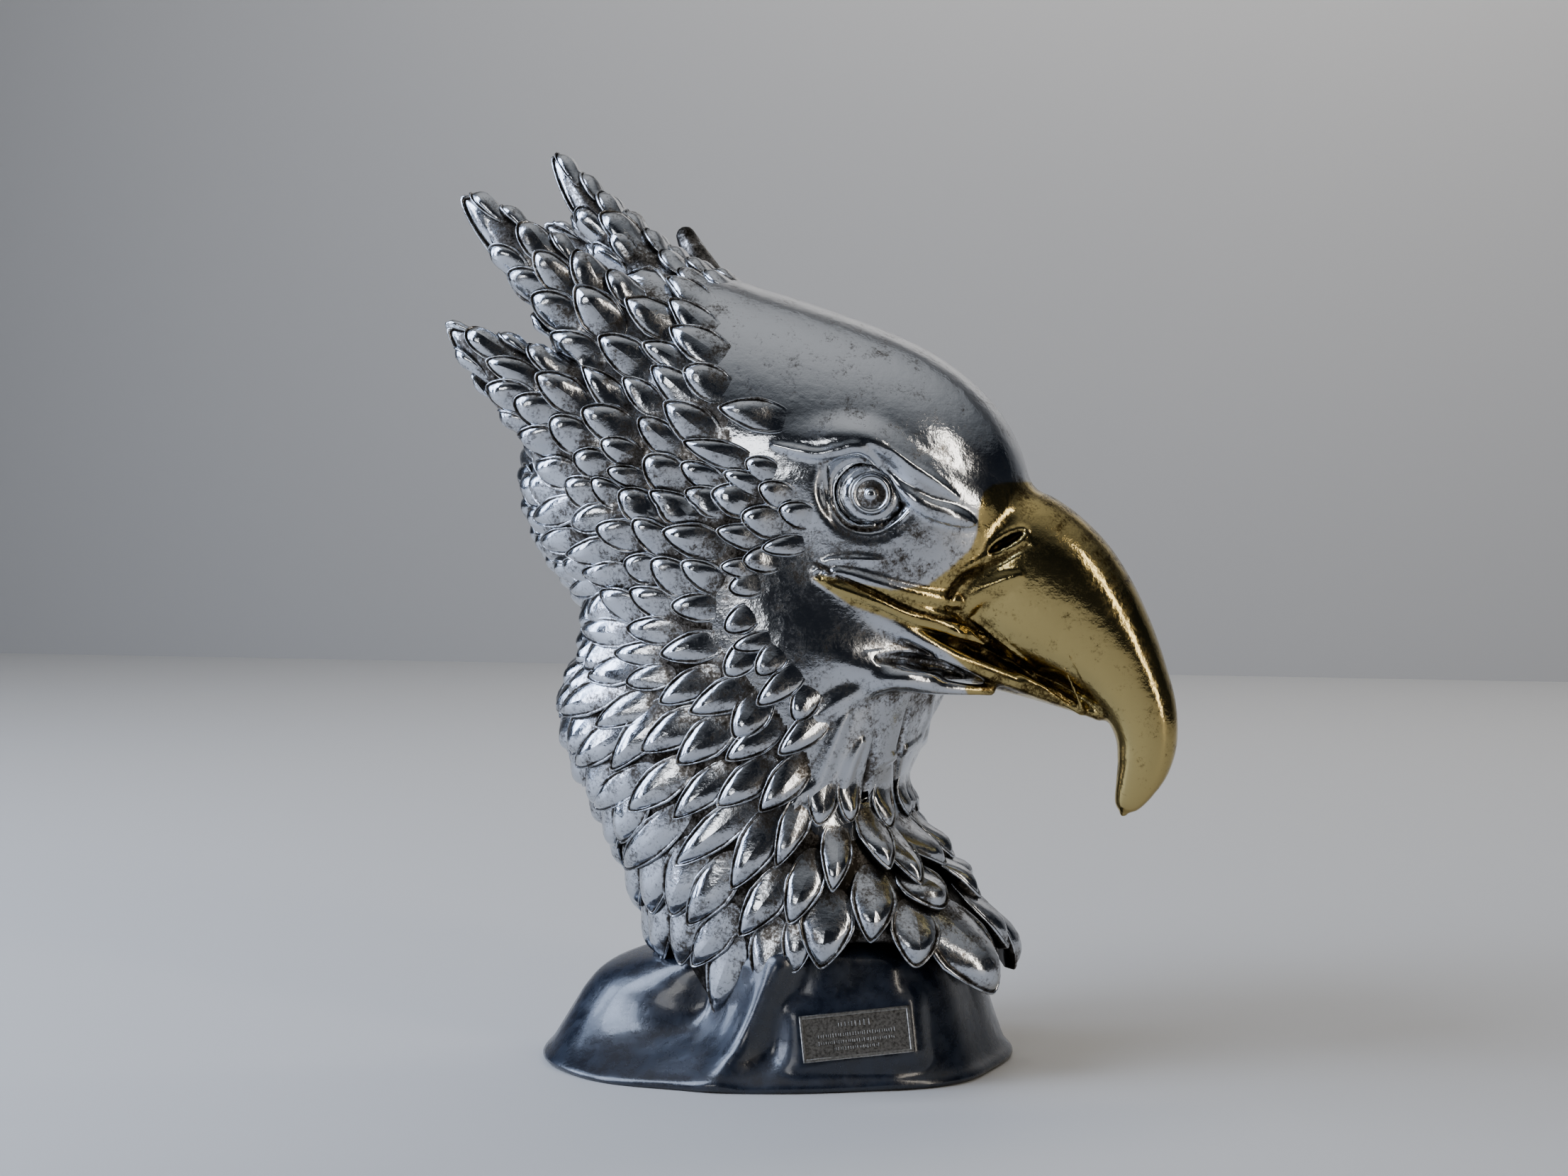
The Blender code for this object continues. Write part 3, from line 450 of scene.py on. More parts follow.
# The eyeball's centre on the right side, its radius and the gap that the lids leave round it.
BALL_CENTRE = (22.0, -17.2, 154.7)
EYE_BALL = 13.5
LID_GAP = 0.35

core_clay = Clay((-98, 0, 6), (108, 60, 258), CORE_STEP)
core_mass = head_mass(core_clay)
bearing = np.degrees(np.abs(np.arctan2(core_clay.y - RIM_CENTRE[1], core_clay.x - RIM_CENTRE[0])))
rim_curve = curve_through(RIM, 4)
rim = np.interp(bearing, rim_curve[:, 0], rim_curve[:, 1])
core_field = Field(core_clay, core_mass)
core_cut = -melt(-core_mass, core_clay.z - rim, 2)

face_clay = Clay(FACE_LOW, FACE_HIGH, FACE_STEP)
face_form = head_mass(face_clay)
for rows, sink, reach in RAISED:
    face_form = melt(face_form, stroke(face_clay, core_field, rows, sink), reach)
for rows, sink, reach in CARVED:
    face_form = carve(face_form, stroke(face_clay, core_field, rows, sink), reach)
ball = egg(face_clay, (BALL_CENTRE[0], -BALL_CENTRE[1], BALL_CENTRE[2]), [EYE_BALL + LID_GAP] * 3)
face_form = carve(face_form, ball, 0.25)
face_field = Field(face_clay, face_form)

# Where the smooth face ends and the feathers begin, as x and z around the face's centre.
FACE_CENTRE = (33.0, 140.0)
FACE_EDGE = [
    (64, 184), (20, 214), (-24, 211), (-18, 197), (-15, 188.6), (-6.2, 174.9), (-2, 162.6),
    (7.9, 150.3), (10, 142), (-2, 135), (-6, 124), (-0.6, 116), (6.5, 109), (9.3, 103.9),
    (13.6, 95), (9.3, 84.7), (16.4, 75), (26.2, 76), (40, 81), (55, 83), (95, 62), (150, 90),
    (170, 140), (130, 190)]


def around(points, centre, angles):
    """Radius towards each bearing of a closed outline, read off its smooth curve."""
    p = np.array(points, float) - centre
    ring = np.array(sorted(zip(np.arctan2(p[:, 1], p[:, 0]), np.hypot(p[:, 0], p[:, 1]))))
    turns = np.vstack([ring + [k, 0] for k in (-2 * math.pi, 0, 2 * math.pi)])
    c = curve_through(turns, 6)
    return np.interp(angles, c[:, 0], c[:, 1])


def beyond_face(x, z):
    """How far a point lies beyond the edge of the smooth face."""
    dx, dz = x - FACE_CENTRE[0], z - FACE_CENTRE[1]
    edge = around(FACE_EDGE, FACE_CENTRE, np.arctan2(dz, dx))
    return np.hypot(dx, dz) - edge


# Gold is plated on the beak, its cere and the two lips of the gape, up to this line on either side.
GOLD_EDGE = [
    (72, 161), (64, 158.6), (57.8, 158.2), (54.4, 157.6), (52.4, 155.6), (51.2, 150.9),
    (50.8, 144.8), (49.2, 140.7), (43.9, 135.5), (38.7, 131.3), (30.2, 130.2), (19.6, 132.2),
    (12.1, 134.2), (9.9, 133.1), (19.6, 125.9), (30.3, 121.9), (43, 113.7), (49.3, 107.6),
    (47.2, 104), (50, 96), (90, 55), (125, 60), (125, 165)]


def inside_outline(x, z, outline):
    """Distance inside a closed outline, negative outside it."""
    p = np.array(outline, float)
    q = np.roll(p, -1, axis=0)
    best = np.full(len(x), 1e9)
    within = np.zeros(len(x), bool)
    for a, b in zip(p, q):
        e = b - a
        t = np.clip(((x - a[0]) * e[0] + (z - a[1]) * e[1]) / (e @ e), 0, 1)
        best = np.minimum(best, np.hypot(x - a[0] - t * e[0], z - a[1] - t * e[1]))
        crosses = (a[1] > z) != (b[1] > z)
        at = a[0] + (z - a[1]) / (b[1] - a[1] if b[1] != a[1] else 1e-9) * e[0]
        within ^= crosses & (x < at)
    return np.where(within, best, -best)


def to_linear(hex_colour):
    """A colour as a shader wants it, from its usual hex form."""
    channels = [int(hex_colour[i:i + 2], 16) / 255 for i in (0, 2, 4)]
    return [c / 12.92 if c <= 0.04045 else ((c + 0.055) / 1.055) ** 2.4 for c in channels] + [1.0]


def add_node(tree, kind, links=(), **settings):
    """A node with its settings; links name an input and the output that feeds it."""
    node = tree.nodes.new(kind)
    for name, value in settings.items():
        if hasattr(node, name):
            setattr(node, name, value)
        else:
            node.inputs[name.replace("_", " ")].default_value = value
    for name, output in links:
        tree.links.new(output, node.inputs[name])
    return node


def noise(tree, place, size, detail, roughness):
    """Noise whose cells are so many millimetres wide."""
    return add_node(tree, "ShaderNodeTexNoise", [("Vector", place)], Scale=1000 / size, Detail=detail,
                    Roughness=roughness)


def ramp_between(tree, value, tones):
    """Colours along a value, each with its place from 0 to 1."""
    node = add_node(tree, "ShaderNodeValToRGB", [("Fac", value)])
    spots = node.color_ramp.elements
    spots[0].position, spots[1].position = tones[0][0], tones[-1][0]
    spots[0].color, spots[1].color = to_linear(tones[0][1]), to_linear(tones[-1][1])
    for place, hex_colour in tones[1:-1]:
        spots.new(place).color = to_linear(hex_colour)
    return node.outputs["Color"]


def map_range(tree, value, given, wanted):
    """The value moved from one range to another."""
    node = add_node(tree, "ShaderNodeMapRange", [("Value", value)])
    node.inputs["From Min"].default_value, node.inputs["From Max"].default_value = given
    node.inputs["To Min"].default_value, node.inputs["To Max"].default_value = wanted
    return node.outputs[0]


def add_bump(tree, shader, height, strength, distance):
    """Relief from a height, as deep as the distance in metres."""
    node = add_node(tree, "ShaderNodeBump", [("Height", height)], Strength=strength, Distance=distance)
    tree.links.new(node.outputs["Normal"], shader.inputs["Normal"])


def new_material(name):
    """A material, its nodes and its main shader."""
    material = bpy.data.materials.new(name)
    material.use_nodes = True
    tree = material.node_tree
    return material, tree, tree.nodes["Principled BSDF"]


# Silver: rolled and polished sterling skin. Its hollows keep a black patina that rubbing takes off
# the high places, so tone runs from black-brown in the cracks to near mirror on the tips. The same tone
# also carries painted shade under the feathers' edges, in the cracks, on the horn, and a painted
# reflection on the cheek.
# Sizes of the patina's specks and clouds and of the hairline scratches, in millimetres. Real specks
# and scratches are under 0.1 mm wide and are drawn coarser, so that they show.
SPECK, CLOUD, SCRATCH_LENGTH, SCRATCH_WIDTH = 0.83333, 5.26316, 11.1111, 0.384615


def silver_material():
    """Polished silver, with patina and painted shade where its wear tone says so, and gold plate where its
    gold tone says so.
    """
    material, tree, shader = new_material("polished silver plate")
    # The wear tone is patina with painted shade and, on the cheek, a painted reflection.
    wear_and_painted_shade = add_node(tree, "ShaderNodeAttribute", attribute_name="wear_and_painted_shade")
    gold = add_node(tree, "ShaderNodeAttribute", attribute_name="gold")
    place = add_node(tree, "ShaderNodeTexCoord").outputs["Object"]
    speckle = noise(tree, place, SPECK, 4.0, 0.75).outputs["Fac"]
    cloud = noise(tree, place, CLOUD, 4.0, 0.6).outputs["Fac"]
    grain = add_node(tree, "ShaderNodeMapping", [("Vector", place)])
    grain.inputs["Rotation"].default_value = (0.3, 0.8, 0.0)
    grain.inputs["Scale"].default_value = (1 / SCRATCH_LENGTH, 1 / SCRATCH_LENGTH, 1 / SCRATCH_WIDTH)
    hairline = noise(tree, grain.outputs[0], 1.0, 2.0, 0.5).outputs["Fac"]
    mixed = add_node(tree, "ShaderNodeMath", [(0, speckle), (1, cloud)], operation="ADD")
    rubbed = add_node(tree, "ShaderNodeMath", [(0, mixed.outputs[0])], operation="MULTIPLY_ADD")
    rubbed.inputs[1].default_value = 1.45
    rubbed.inputs[2].default_value = -1.45
    shine = add_node(tree, "ShaderNodeMath", [(0, rubbed.outputs[0]), (1, wear_and_painted_shade.outputs["Fac"])],
                     operation="ADD", use_clamp=True).outputs[0]
    tone = ramp_between(tree, shine, [(0.1, "1B1814"), (0.45, "5C5854"), (0.8, "C0C4CA")])
    tint = add_node(tree, "ShaderNodeMix", data_type="RGBA")
    tree.links.new(gold.outputs["Fac"], tint.inputs[0])
    tree.links.new(tone, tint.inputs[6])
    golden = add_node(tree, "ShaderNodeMix", data_type="RGBA", blend_type="MULTIPLY")
    golden.inputs[0].default_value = 1.0
    tree.links.new(tone, golden.inputs[6])
    golden.inputs[7].default_value = to_linear("EBCF86")
    tree.links.new(golden.outputs[2], tint.inputs[7])
    tree.links.new(tint.outputs[2], shader.inputs["Base Color"])
    tree.links.new(map_range(tree, shine, (0.2, 0.9), (0.42, 0.12)), shader.inputs["Roughness"])
    relief = add_node(tree, "ShaderNodeMath", [(0, speckle), (2, cloud)], operation="MULTIPLY_ADD")
    relief.inputs[1].default_value = 0.07
    marked = add_node(tree, "ShaderNodeMath", [(0, hairline), (2, relief.outputs[0])],
                      operation="MULTIPLY_ADD")
    marked.inputs[1].default_value = 0.05
    add_bump(tree, shader, marked.outputs[0], 0.35, 0.0006)
    shader.inputs["Metallic"].default_value = 1.0
    return material


silver = silver_material()

# The neck, the crest and the face.
# They are one casting. Under the feathers it shows only in the cracks, dark with patina and with painted
# shade for the cracks, so it is skinned coarsely. The bare face in front is skinned finer, and its skin
# overlaps the neck's, which is tucked in under it.
TUCKED = 0.25
points, faces = skin(core_clay, core_cut)
far = beyond_face(points[:, 0], points[:, 2])
outward = core_field.read(points)[1]
outward = outward / np.maximum(np.linalg.norm(outward, axis=1), 1e-6)[:, None]
points = points - TUCKED * outward
in_face = ((points[:, 0] > FACE_LOW[0] + 2) & (points[:, 0] < FACE_HIGH[0])
           & (points[:, 2] > FACE_LOW[2] + 2) & (points[:, 2] < FACE_HIGH[2] - 2) & (far < 8))
cut_points, cut_faces, _used = keep_points(points, faces, ~in_face)
# Its tone is patina with painted shade for the cracks between the feathers, darker towards the bottom.
core = mesh_piece("neck_and_crest", cut_points, cut_faces, None,
                  {"wear_and_painted_shade": np.interp(cut_points[:, 2], (40, 110, 165), (0.14, 0.2, 0.42)),
                   "gold": np.zeros(len(cut_points))})
core.data.materials.append(silver)
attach(core, "root")
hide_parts("eagle_bust")

points, faces = skin(face_clay, face_field.f)
points, outward = face_field.settle(points)
far = beyond_face(points[:, 0], points[:, 2])
inner = ((points[:, 0] > FACE_LOW[0] + 1) & (points[:, 2] > FACE_LOW[2] + 1)
         & (points[:, 2] < FACE_HIGH[2] - 1) & (far < 11))
cut_points, cut_faces, used = keep_points(points, faces, inner)
outward = outward[used]
golden = inside_outline(cut_points[:, 0], cut_points[:, 2], GOLD_EDGE)
# The patina is black in what is carved in and dark in creases but for the throat's soft folds. The cheek
# below the eye is painted darker, a painted reflection of the dark room. HOLLOW_REACH is how far out a
# point looks for its neighbours.
HOLLOW_REACH = 0.9
hollow = face_field.read(cut_points + HOLLOW_REACH * outward)[0] - HOLLOW_REACH
hollow = np.clip(hollow / 0.5, -1, 1)
sunk = np.clip((-core_field.read(cut_points)[0] - 0.4) / 0.9, 0, 1)
throat = np.interp(cut_points[:, 2], (94, 106), (0.35, 0.65))
# Painted reflection: the cheek below the eye is darkened to stand for the dark room it mirrors.
painted_cheek_reflection = np.exp(-((cut_points[:, 0] - 34) / 18) ** 2 - ((cut_points[:, 2] - 139) / 9) ** 2)
middle = cut_points[cut_faces].mean(axis=1)[:, 1]
for name, chosen in (("face_right", middle < 0), ("face_left", middle >= 0)):
    used = np.unique(cut_faces[chosen])
    place = np.full(len(cut_points), -1)
    place[used] = np.arange(len(used))
    face = mesh_piece(name, cut_points[used], place[cut_faces[chosen]], outward[used],
                      {"wear_and_painted_shade": np.clip(0.98 + (throat * hollow - 0.85 * sunk - 0.24 * painted_cheek_reflection)[used], 0, 1),
                       "gold": np.clip(golden[used] / 0.5 + 0.5, 0, 1)})
    face.data.materials.append(silver)
    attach(face, "root")
    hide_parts("eagle_bust")

# The eyes.
# Each is a polished silver ball under the lids, engraved as one ring around a shallow dish with a
# small boss for the pupil. It is turned here about the way it looks.
EYE_PROFILE = [
    (0, 0.35), (0.55, 0.33), (1.0, 0.2), (1.4, -0.05), (1.8, -0.32), (2.7, -0.36), (3.6, -0.26),
    (3.95, -0.1), (4.2, 0.12), (4.5, 0.36), (4.85, 0.4), (5.15, 0.26), (5.4, 0.02), (5.65, -0.1),
    (5.95, -0.04), (7.0, 0), (8.4, 0), (10.0, 0), (11.6, 0)]
EYE_STEPS = 72
EYE_LOOKS = [0.2, -0.97, 0.02]


def ring_quads(rings, steps):
    """Quads between rings of points, each ring joined to the next."""
    i = np.arange(steps)
    j = (i + 1) % steps
    band = np.stack([i, j, j + steps, i + steps], axis=1)
    return np.concatenate([band + k * steps for k in range(rings - 1)])


eye_axis = np.array(EYE_LOOKS)
eye_axis /= np.linalg.norm(eye_axis)
eye_across = np.cross(eye_axis, [0, 0, 1])
eye_across /= np.linalg.norm(eye_across)
eye_up = np.cross(eye_across, eye_axis)
eye_middle = np.array(BALL_CENTRE)
eye_rows = curve_through(EYE_PROFILE, 3)
turn = np.linspace(0, 2 * math.pi, EYE_STEPS, endpoint=False)
rings = []
for radius, height in eye_rows:
    radius = max(radius, 0.02)
    out = math.sqrt(EYE_BALL ** 2 - radius ** 2) + height
    rings.append(eye_middle + out * eye_axis + radius * (np.cos(turn)[:, None] * eye_across
                                                         + np.sin(turn)[:, None] * eye_up))
points = np.concatenate(rings)
faces = ring_quads(len(rings), EYE_STEPS)
wear_and_painted_shade = np.repeat(np.clip(0.92 + 1.5 * eye_rows[:, 1], 0.2, 1), EYE_STEPS)
for name, side in (("eye_right", 1.0), ("eye_left", -1.0)):
    eye = mesh_piece(name, points * [1, side, 1], faces if side < 0 else faces[:, ::-1], None,
                     {"wear_and_painted_shade": wear_and_painted_shade, "gold": np.zeros(len(points))})
    eye.data.materials.append(silver)
    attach(eye, "root")
    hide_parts("eagle_bust")

# The feathers.
# Each is a plump leaf of the same casting, laid like a roof tile from the face outwards, with a
# fine raised bead round its free tip where the silver is rubbed brightest.
LEAF_POINTS = 28
LEAF_LONGEST = 34.0
LEAF_RINGS = [0.0, 0.3, 0.5, 0.65, 0.73, 0.78, 0.82, 0.865, 0.91, 0.955, 0.985, 1.0]
# Skirt under the edge, painted dark as a painted shadow: share of the outline and depth below the edge in
# millimetres.
LEAF_SKIRT = [(0.995, 0.35), (0.97, 1.0), (0.9, 2.6), (0.0, 2.4)]
# Leaves as seen: root right and up, tip right and up, width. The rest of the plumage fills in.
CREST_LEAVES = [
    (-68.3, 81.8, -82.3, 96.1, 9.0), (-55.1, 109.3, -64.6, 120.7, 7.5),
    (-51.8, 96.0, -63.1, 110.3, 8.0), (-41.4, 101.7, -53.7, 114.5, 8.0),
    (-37.6, 93.7, -49.4, 101.3, 7.0), (-40.9, 90.4, -47.0, 97.0, 6.0),
    (-56.0, 93.2, -71.6, 101.5, 7.1), (-58.4, 81.4, -67.6, 91.3, 7.6), (-48.5, 81.4, -57.7, 91.3, 9.0),
    (-31.4, 79.0, -45.9, 88.5, 9.5), (-57.0, 72.4, -67.4, 80.4, 8.5), (-45.6, 70.5, -56.7, 81.1, 9.5),
    (-28.1, 70.5, -42.8, 78.1, 9.0), (-18.8, 70.0, -30.7, 77.6, 7.6), (-20.0, 77.6, -31.2, 83.5, 6.2),
    (-77.3, 53.8, -89.2, 57.5, 8.5), (-66.9, 57.5, -80.9, 61.8, 6.6),
    (-63.6, 48.5, -79.7, 50.0, 7.6), (-60.8, 59.4, -69.8, 65.6, 6.6), (-54.1, 50.0, -67.2, 57.5, 8.5),
    (-63.6, 38.1, -73.6, 42.9, 7.1), (-53.2, 38.6, -63.6, 46.2, 9.0), (-50.4, 61.3, -62.2, 69.9, 9.0),
    (-37.1, 59.4, -49.4, 68.4, 9.0), (-25.3, 60.9, -38.3, 67.5, 6.6), (-15.9, 63.2, -30.2, 70.3, 8.5),
    (-42.3, 48.5, -54.9, 59.4, 7.6), (-33.8, 48.5, -43.5, 57.1, 7.1), (-23.4, 50.4, -34.7, 59.4, 7.6),
    (-15.3, 53.8, -26.2, 59.4, 8.5), (-41.8, 42.4, -54.6, 48.5, 9.0), (-28.6, 37.7, -39.2, 45.7, 8.1),
    (-18.8, 41.0, -31.6, 49.5, 9.0), (-39.5, 35.8, -49.6, 39.5, 6.6), (-48.5, 32.4, -56.5, 36.7, 7.1),
    (-56.5, 30.6, -66.7, 33.9, 8.1), (-61.7, 25.8, -72.8, 27.7, 8.5), (-56.0, 23.4, -66.5, 19.7, 7.1),
    (-50.8, 23.9, -58.9, 29.1, 7.6), (-44.7, 23.0, -52.0, 29.6, 6.2), (-38.0, 29.1, -47.5, 32.4, 5.2),
    (-27.1, 27.2, -37.6, 35.3, 9.9), (-17.2, 27.7, -27.4, 33.9, 6.6), (-35.2, 19.7, -44.4, 25.8, 8.1),
    (-22.9, 17.3, -35.7, 26.3, 8.1), (-15.3, 21.6, -26.2, 26.3, 7.1), (-47.5, 20.6, -57.0, 18.2, 7.1)]
SIDE_LEAVES = [
    (1.4, 45.8, -16.4, 49.2, 8.1), (-9.2, 34.6, -25.7, 39.6, 6.2), (-4.2, 26.5, -15.4, 31.5, 5.6),
    (-17.3, 10.9, -31.8, 15.6, 8.1), (-3.9, 12.8, -17.3, 15.6, 6.5), (7.0, 12.5, -5.2, 11.0, 5.3),
    (-30.4, 10.3, -40.6, 17.6, 6.9), (-38.5, 12.8, -50.3, 17.0, 7.5), (-56.0, 13.4, -64.7, 14.0, 6.2),
    (-44.1, 11.5, -57.3, 10.3, 6.9), (-34.5, 3.4, -42.7, 7.7, 7.5), (-25.4, -0.3, -35.3, 6.9, 8.1),
    (-16.4, -0.3, -26.8, 6.9, 6.9), (-6.4, 5.2, -16.4, 5.8, 5.0), (-41.9, 3.4, -53.3, 4.8, 6.9),
    (-49.7, 1.6, -56.6, 0.3, 5.6), (-39.8, -7.2, -48.9, -1.1, 7.5), (-29.5, -6.5, -41.1, -1.1, 7.5),
    (-17.6, -5.9, -29.6, -4.5, 6.9), (-45.0, -7.2, -55.1, -4.8, 7.5),
    (-52.2, -10.3, -57.9, -13.1, 6.9), (-41.3, -12.5, -53.0, -11.6, 6.9),
    (-29.2, -12.1, -41.4, -11.0, 6.9), (-17.3, -14.9, -32.1, -17.9, 7.5),
    (-2.7, -13.4, -12.8, -16.4, 4.7), (-46.9, -17.8, -56.4, -19.7, 6.9),
    (-32.3, -18.1, -44.4, -18.2, 6.2), (-40.7, -21.5, -51.8, -24.7, 6.9),
    (-30.7, -23.4, -42.2, -26.0, 6.5), (-18.6, -23.4, -32.8, -30.7, 7.5),
    (-8.3, -25.9, -24.0, -33.8, 8.1), (5.7, -22.1, -6.7, -31.3, 6.9),
    (-53.8, -25.2, -65.9, -31.3, 7.5), (-45.0, -27.7, -58.6, -33.8, 7.5),
    (-35.1, -29.6, -49.3, -37.5, 7.5), (-52.8, -38.3, -64.4, -47.0, 9.3),
    (-41.6, -37.7, -54.8, -47.8, 8.1), (-31.6, -33.3, -46.0, -47.8, 8.1),
    (-23.2, -34.0, -37.1, -44.7, 8.7), (-14.8, -36.5, -27.5, -47.2, 8.7),
    (-1.7, -37.1, -13.9, -46.9, 6.9), (12.0, -34.6, -0.2, -44.6, 6.9)]
CHEST_LEAVES = [
    (-47.7, -49.0, -58.4, -59.3, 7.5), (-37.2, -49.0, -49.2, -60.0, 7.0),
    (-26.7, -47.5, -40.0, -60.5, 8.5), (-14.8, -49.5, -28.5, -61.8, 7.5),
    (-3.8, -48.0, -16.3, -59.0, 8.0), (6.2, -46.5, -5.6, -60.8, 8.5),
    (-37.7, -58.5, -48.4, -70.5, 7.5), (-25.7, -62.0, -41.9, -74.2, 8.5),
    (-8.3, -58.5, -28.0, -75.0, 8.5), (-1.3, -60.5, -13.0, -81.5, 9.5), (6.2, -56.5, -1.3, -75.0, 7.0),
    (-27.7, -73.0, -42.7, -84.9, 8.5), (-16.3, -72.0, -35.0, -89.7, 8.5),
    (-13.3, -74.5, -24.5, -90.9, 9.5), (0.7, -77.0, -10.0, -94.7, 9.0), (8.7, -73.0, 2.4, -91.2, 9.0),
    (-24.7, -89.9, -34.7, -102.6, 9.5), (-14.3, -88.4, -23.0, -102.9, 8.5),
    (-13.8, -95.4, -17.3, -115.6, 9.2), (-2.8, -91.4, -5.1, -108.1, 9.2),
    (4.7, -89.9, 3.2, -104.4, 7.5), (18.3, -51.0, 17.8, -64.2, 5.5), (14.8, -64.5, 13.3, -82.4, 7.5),
    (23.3, -59.5, 26.8, -77.0, 7.5), (13.3, -83.4, 10.3, -102.6, 12.5),
    (24.8, -77.5, 23.3, -96.2, 10.5), (35.3, -86.4, 36.0, -103.4, 12.0),
    (31.3, -61.5, 42.0, -76.7, 7.5), (33.8, -76.0, 42.0, -87.9, 8.5),
    (47.2, -88.9, 62.7, -111.4, 12.0), (41.7, -88.9, 55.7, -109.4, 12.5),
    (43.2, -76.0, 56.2, -87.9, 5.5), (40.8, -65.0, 51.2, -77.0, 5.5), (32.8, -56.5, 39.0, -66.0, 4.0),
    (41.7, -60.0, 47.5, -70.0, 4.0), (49.7, -73.5, 55.0, -81.0, 3.5)]
# Free blades of the crest: root, tip, the way the flat side faces and width.
CREST_BLADES = [
    ((-60.5, 30.2, 211.5), (-88.9, 31.6, 235.8), (0, 1, 0.3), 14.0),
    ((-63.5, 37.5, 180.5), (-89.3, 40.6, 199.5), (0, 1, 0), 13.0),
    ((-54.0, 3.5, 225.0), (-74.3, 0.6, 250.4), (0.3, 1, 0.3), 10.5)]
LEAF_OVERLAP, LEAF_SPREAD = 1.12, 1.16
# Leaves shorter than LONG_FROM are blunt and low; over LONG_OVER more they grow pointed and lifted.
LONG_FROM, LONG_OVER = 14, 8
LEAF_LIFT, LONG_LIFT = 1.35, 1.2
LEAF_BLUNT, LONG_POINT, BLADE_POINT = 0.22, 0.35, 0.4
BLADE_LIFT = 0.3
LEAF_PLUMP = 0.155
# The feathers lie flatter over this far from the ends of the crest, behind and above.
CREST_FADE, CREST_BACK, CREST_TOP = 24, -98, 259
# The crest ends here, so that no feather stands out farther back than the casting.
CREST_REACH = -90.26
# A listed leaf counts as this far from the face; beyond FAR_SIDE it would be out of sight.
LAID_AWAY = 20.0
FAR_SIDE = 4
# Shares of a leaf's length and width that keep the next leaf off, round a laid one and a filled one.
LAID_ROOM, FILL_ROOM = (0.66, 0.86), (0.64, 0.9)
rng = np.random.default_rng(7)


def beside_face(far):
    """1 for a leaf at the edge of the smooth face, 0 for one well away from it."""
    return np.clip((13 - far) / 8, 0, 1)


def seen_leaves(table):
    """Leaves of the near side: place, direction, outward, length, width, distance from the face."""
    table = np.array(table)
    roots, _out = seen(core_field, table[:, 0:2])
    tips, _out = seen(core_field, table[:, 2:4])
    middles, out = core_field.settle((roots + tips) / 2)
    leaves = []
    for root, tip, p, n, width in zip(roots, tips, middles, out, table[:, 4]):
        flow = tip - root
        length = np.linalg.norm(flow)
        if length > LEAF_LONGEST:
            continue
        flow = flow - (flow @ n) * n
        flow = flow / np.linalg.norm(flow)
        across = np.cross(n, flow)
        slant = math.sqrt(1 - (across @ BACK) ** 2)
        if p[1] > FAR_SIDE:
            continue
        blend = beside_face(beyond_face(p[0:1], p[2:3])[0])
        leaves.append((p, flow, n, length * 1.06, width / max(slant, 0.55), LAID_AWAY, blend))
    return leaves


def fill_leaves(points, out, laid):
    """Smaller feathers over what the laid ones leave free, from the face outwards."""
    side = (points[:, 1] < 0.5) & (points[:, 2] > 18)
    p, n = points[side].astype(float), out[side].astype(float)
    far = beyond_face(p[:, 0], p[:, 2])
    ok = far > 2
    p, n, far = p[ok], n[ok], far[ok]
    drop = np.clip((150 - p[:, 2]) / 110, 0, 1)
    away = np.stack([p[:, 0] - FACE_CENTRE[0], 0.15 * p[:, 1], p[:, 2] - FACE_CENTRE[1]], axis=1)
    away /= np.linalg.norm(away, axis=1)[:, None]
    flow = away * (1 - 0.4 * drop)[:, None] + np.array([0, 0, -1.0]) * (0.4 * drop)[:, None]
    flow -= (flow * n).sum(1)[:, None] * n
    flow /= np.maximum(np.linalg.norm(flow, axis=1), 1e-6)[:, None]
    low = np.clip((108 - p[:, 2]) / 70, 0, 1)
    crest = np.clip((far - 6) / 20, 0, 1)
    length, width = 11.5 + 2 * crest + 10 * low, 8.0 + 0.8 * crest + 3.2 * low
    order = np.argsort(far, kind="stable")
    p, n, flow, length, width, far = (a[order] for a in (p, n, flow, length, width, far))
    cross = np.cross(n, flow)
    taken = np.zeros(len(p), bool)
    for q, way, up, long, wide, _far, _blend in laid:
        d = p - q
        along = (d @ way) / (LAID_ROOM[0] * long)
        over = (d @ np.cross(up, way)) / (LAID_ROOM[1] * wide)
        taken |= along ** 2 + over ** 2 + ((d @ up) / wide) ** 2 < 1
    chosen = []
    for i in range(len(p)):
        if taken[i]:
            continue
        chosen.append(i)
        d = p - p[i]
        along = (d @ flow[i]) / (FILL_ROOM[0] * length[i])
        over = (d @ cross[i]) / (FILL_ROOM[1] * width[i])
        taken |= along ** 2 + over ** 2 + ((d @ n[i]) / width[i]) ** 2 < 1
    leaves = []
    for i in chosen:
        tip = p[i] + 0.5 * length[i] * flow[i]
        way = math.degrees(abs(math.atan2(tip[1] - RIM_CENTRE[1], tip[0] - RIM_CENTRE[0])))
        edge = np.interp(way, rim_curve[:, 0], rim_curve[:, 1])
        if tip[2] > edge + 1 and p[i][2] > edge + 5:
            leaves.append((p[i], flow[i], n[i], length[i], width[i], far[i], beside_face(far[i])))
    return leaves


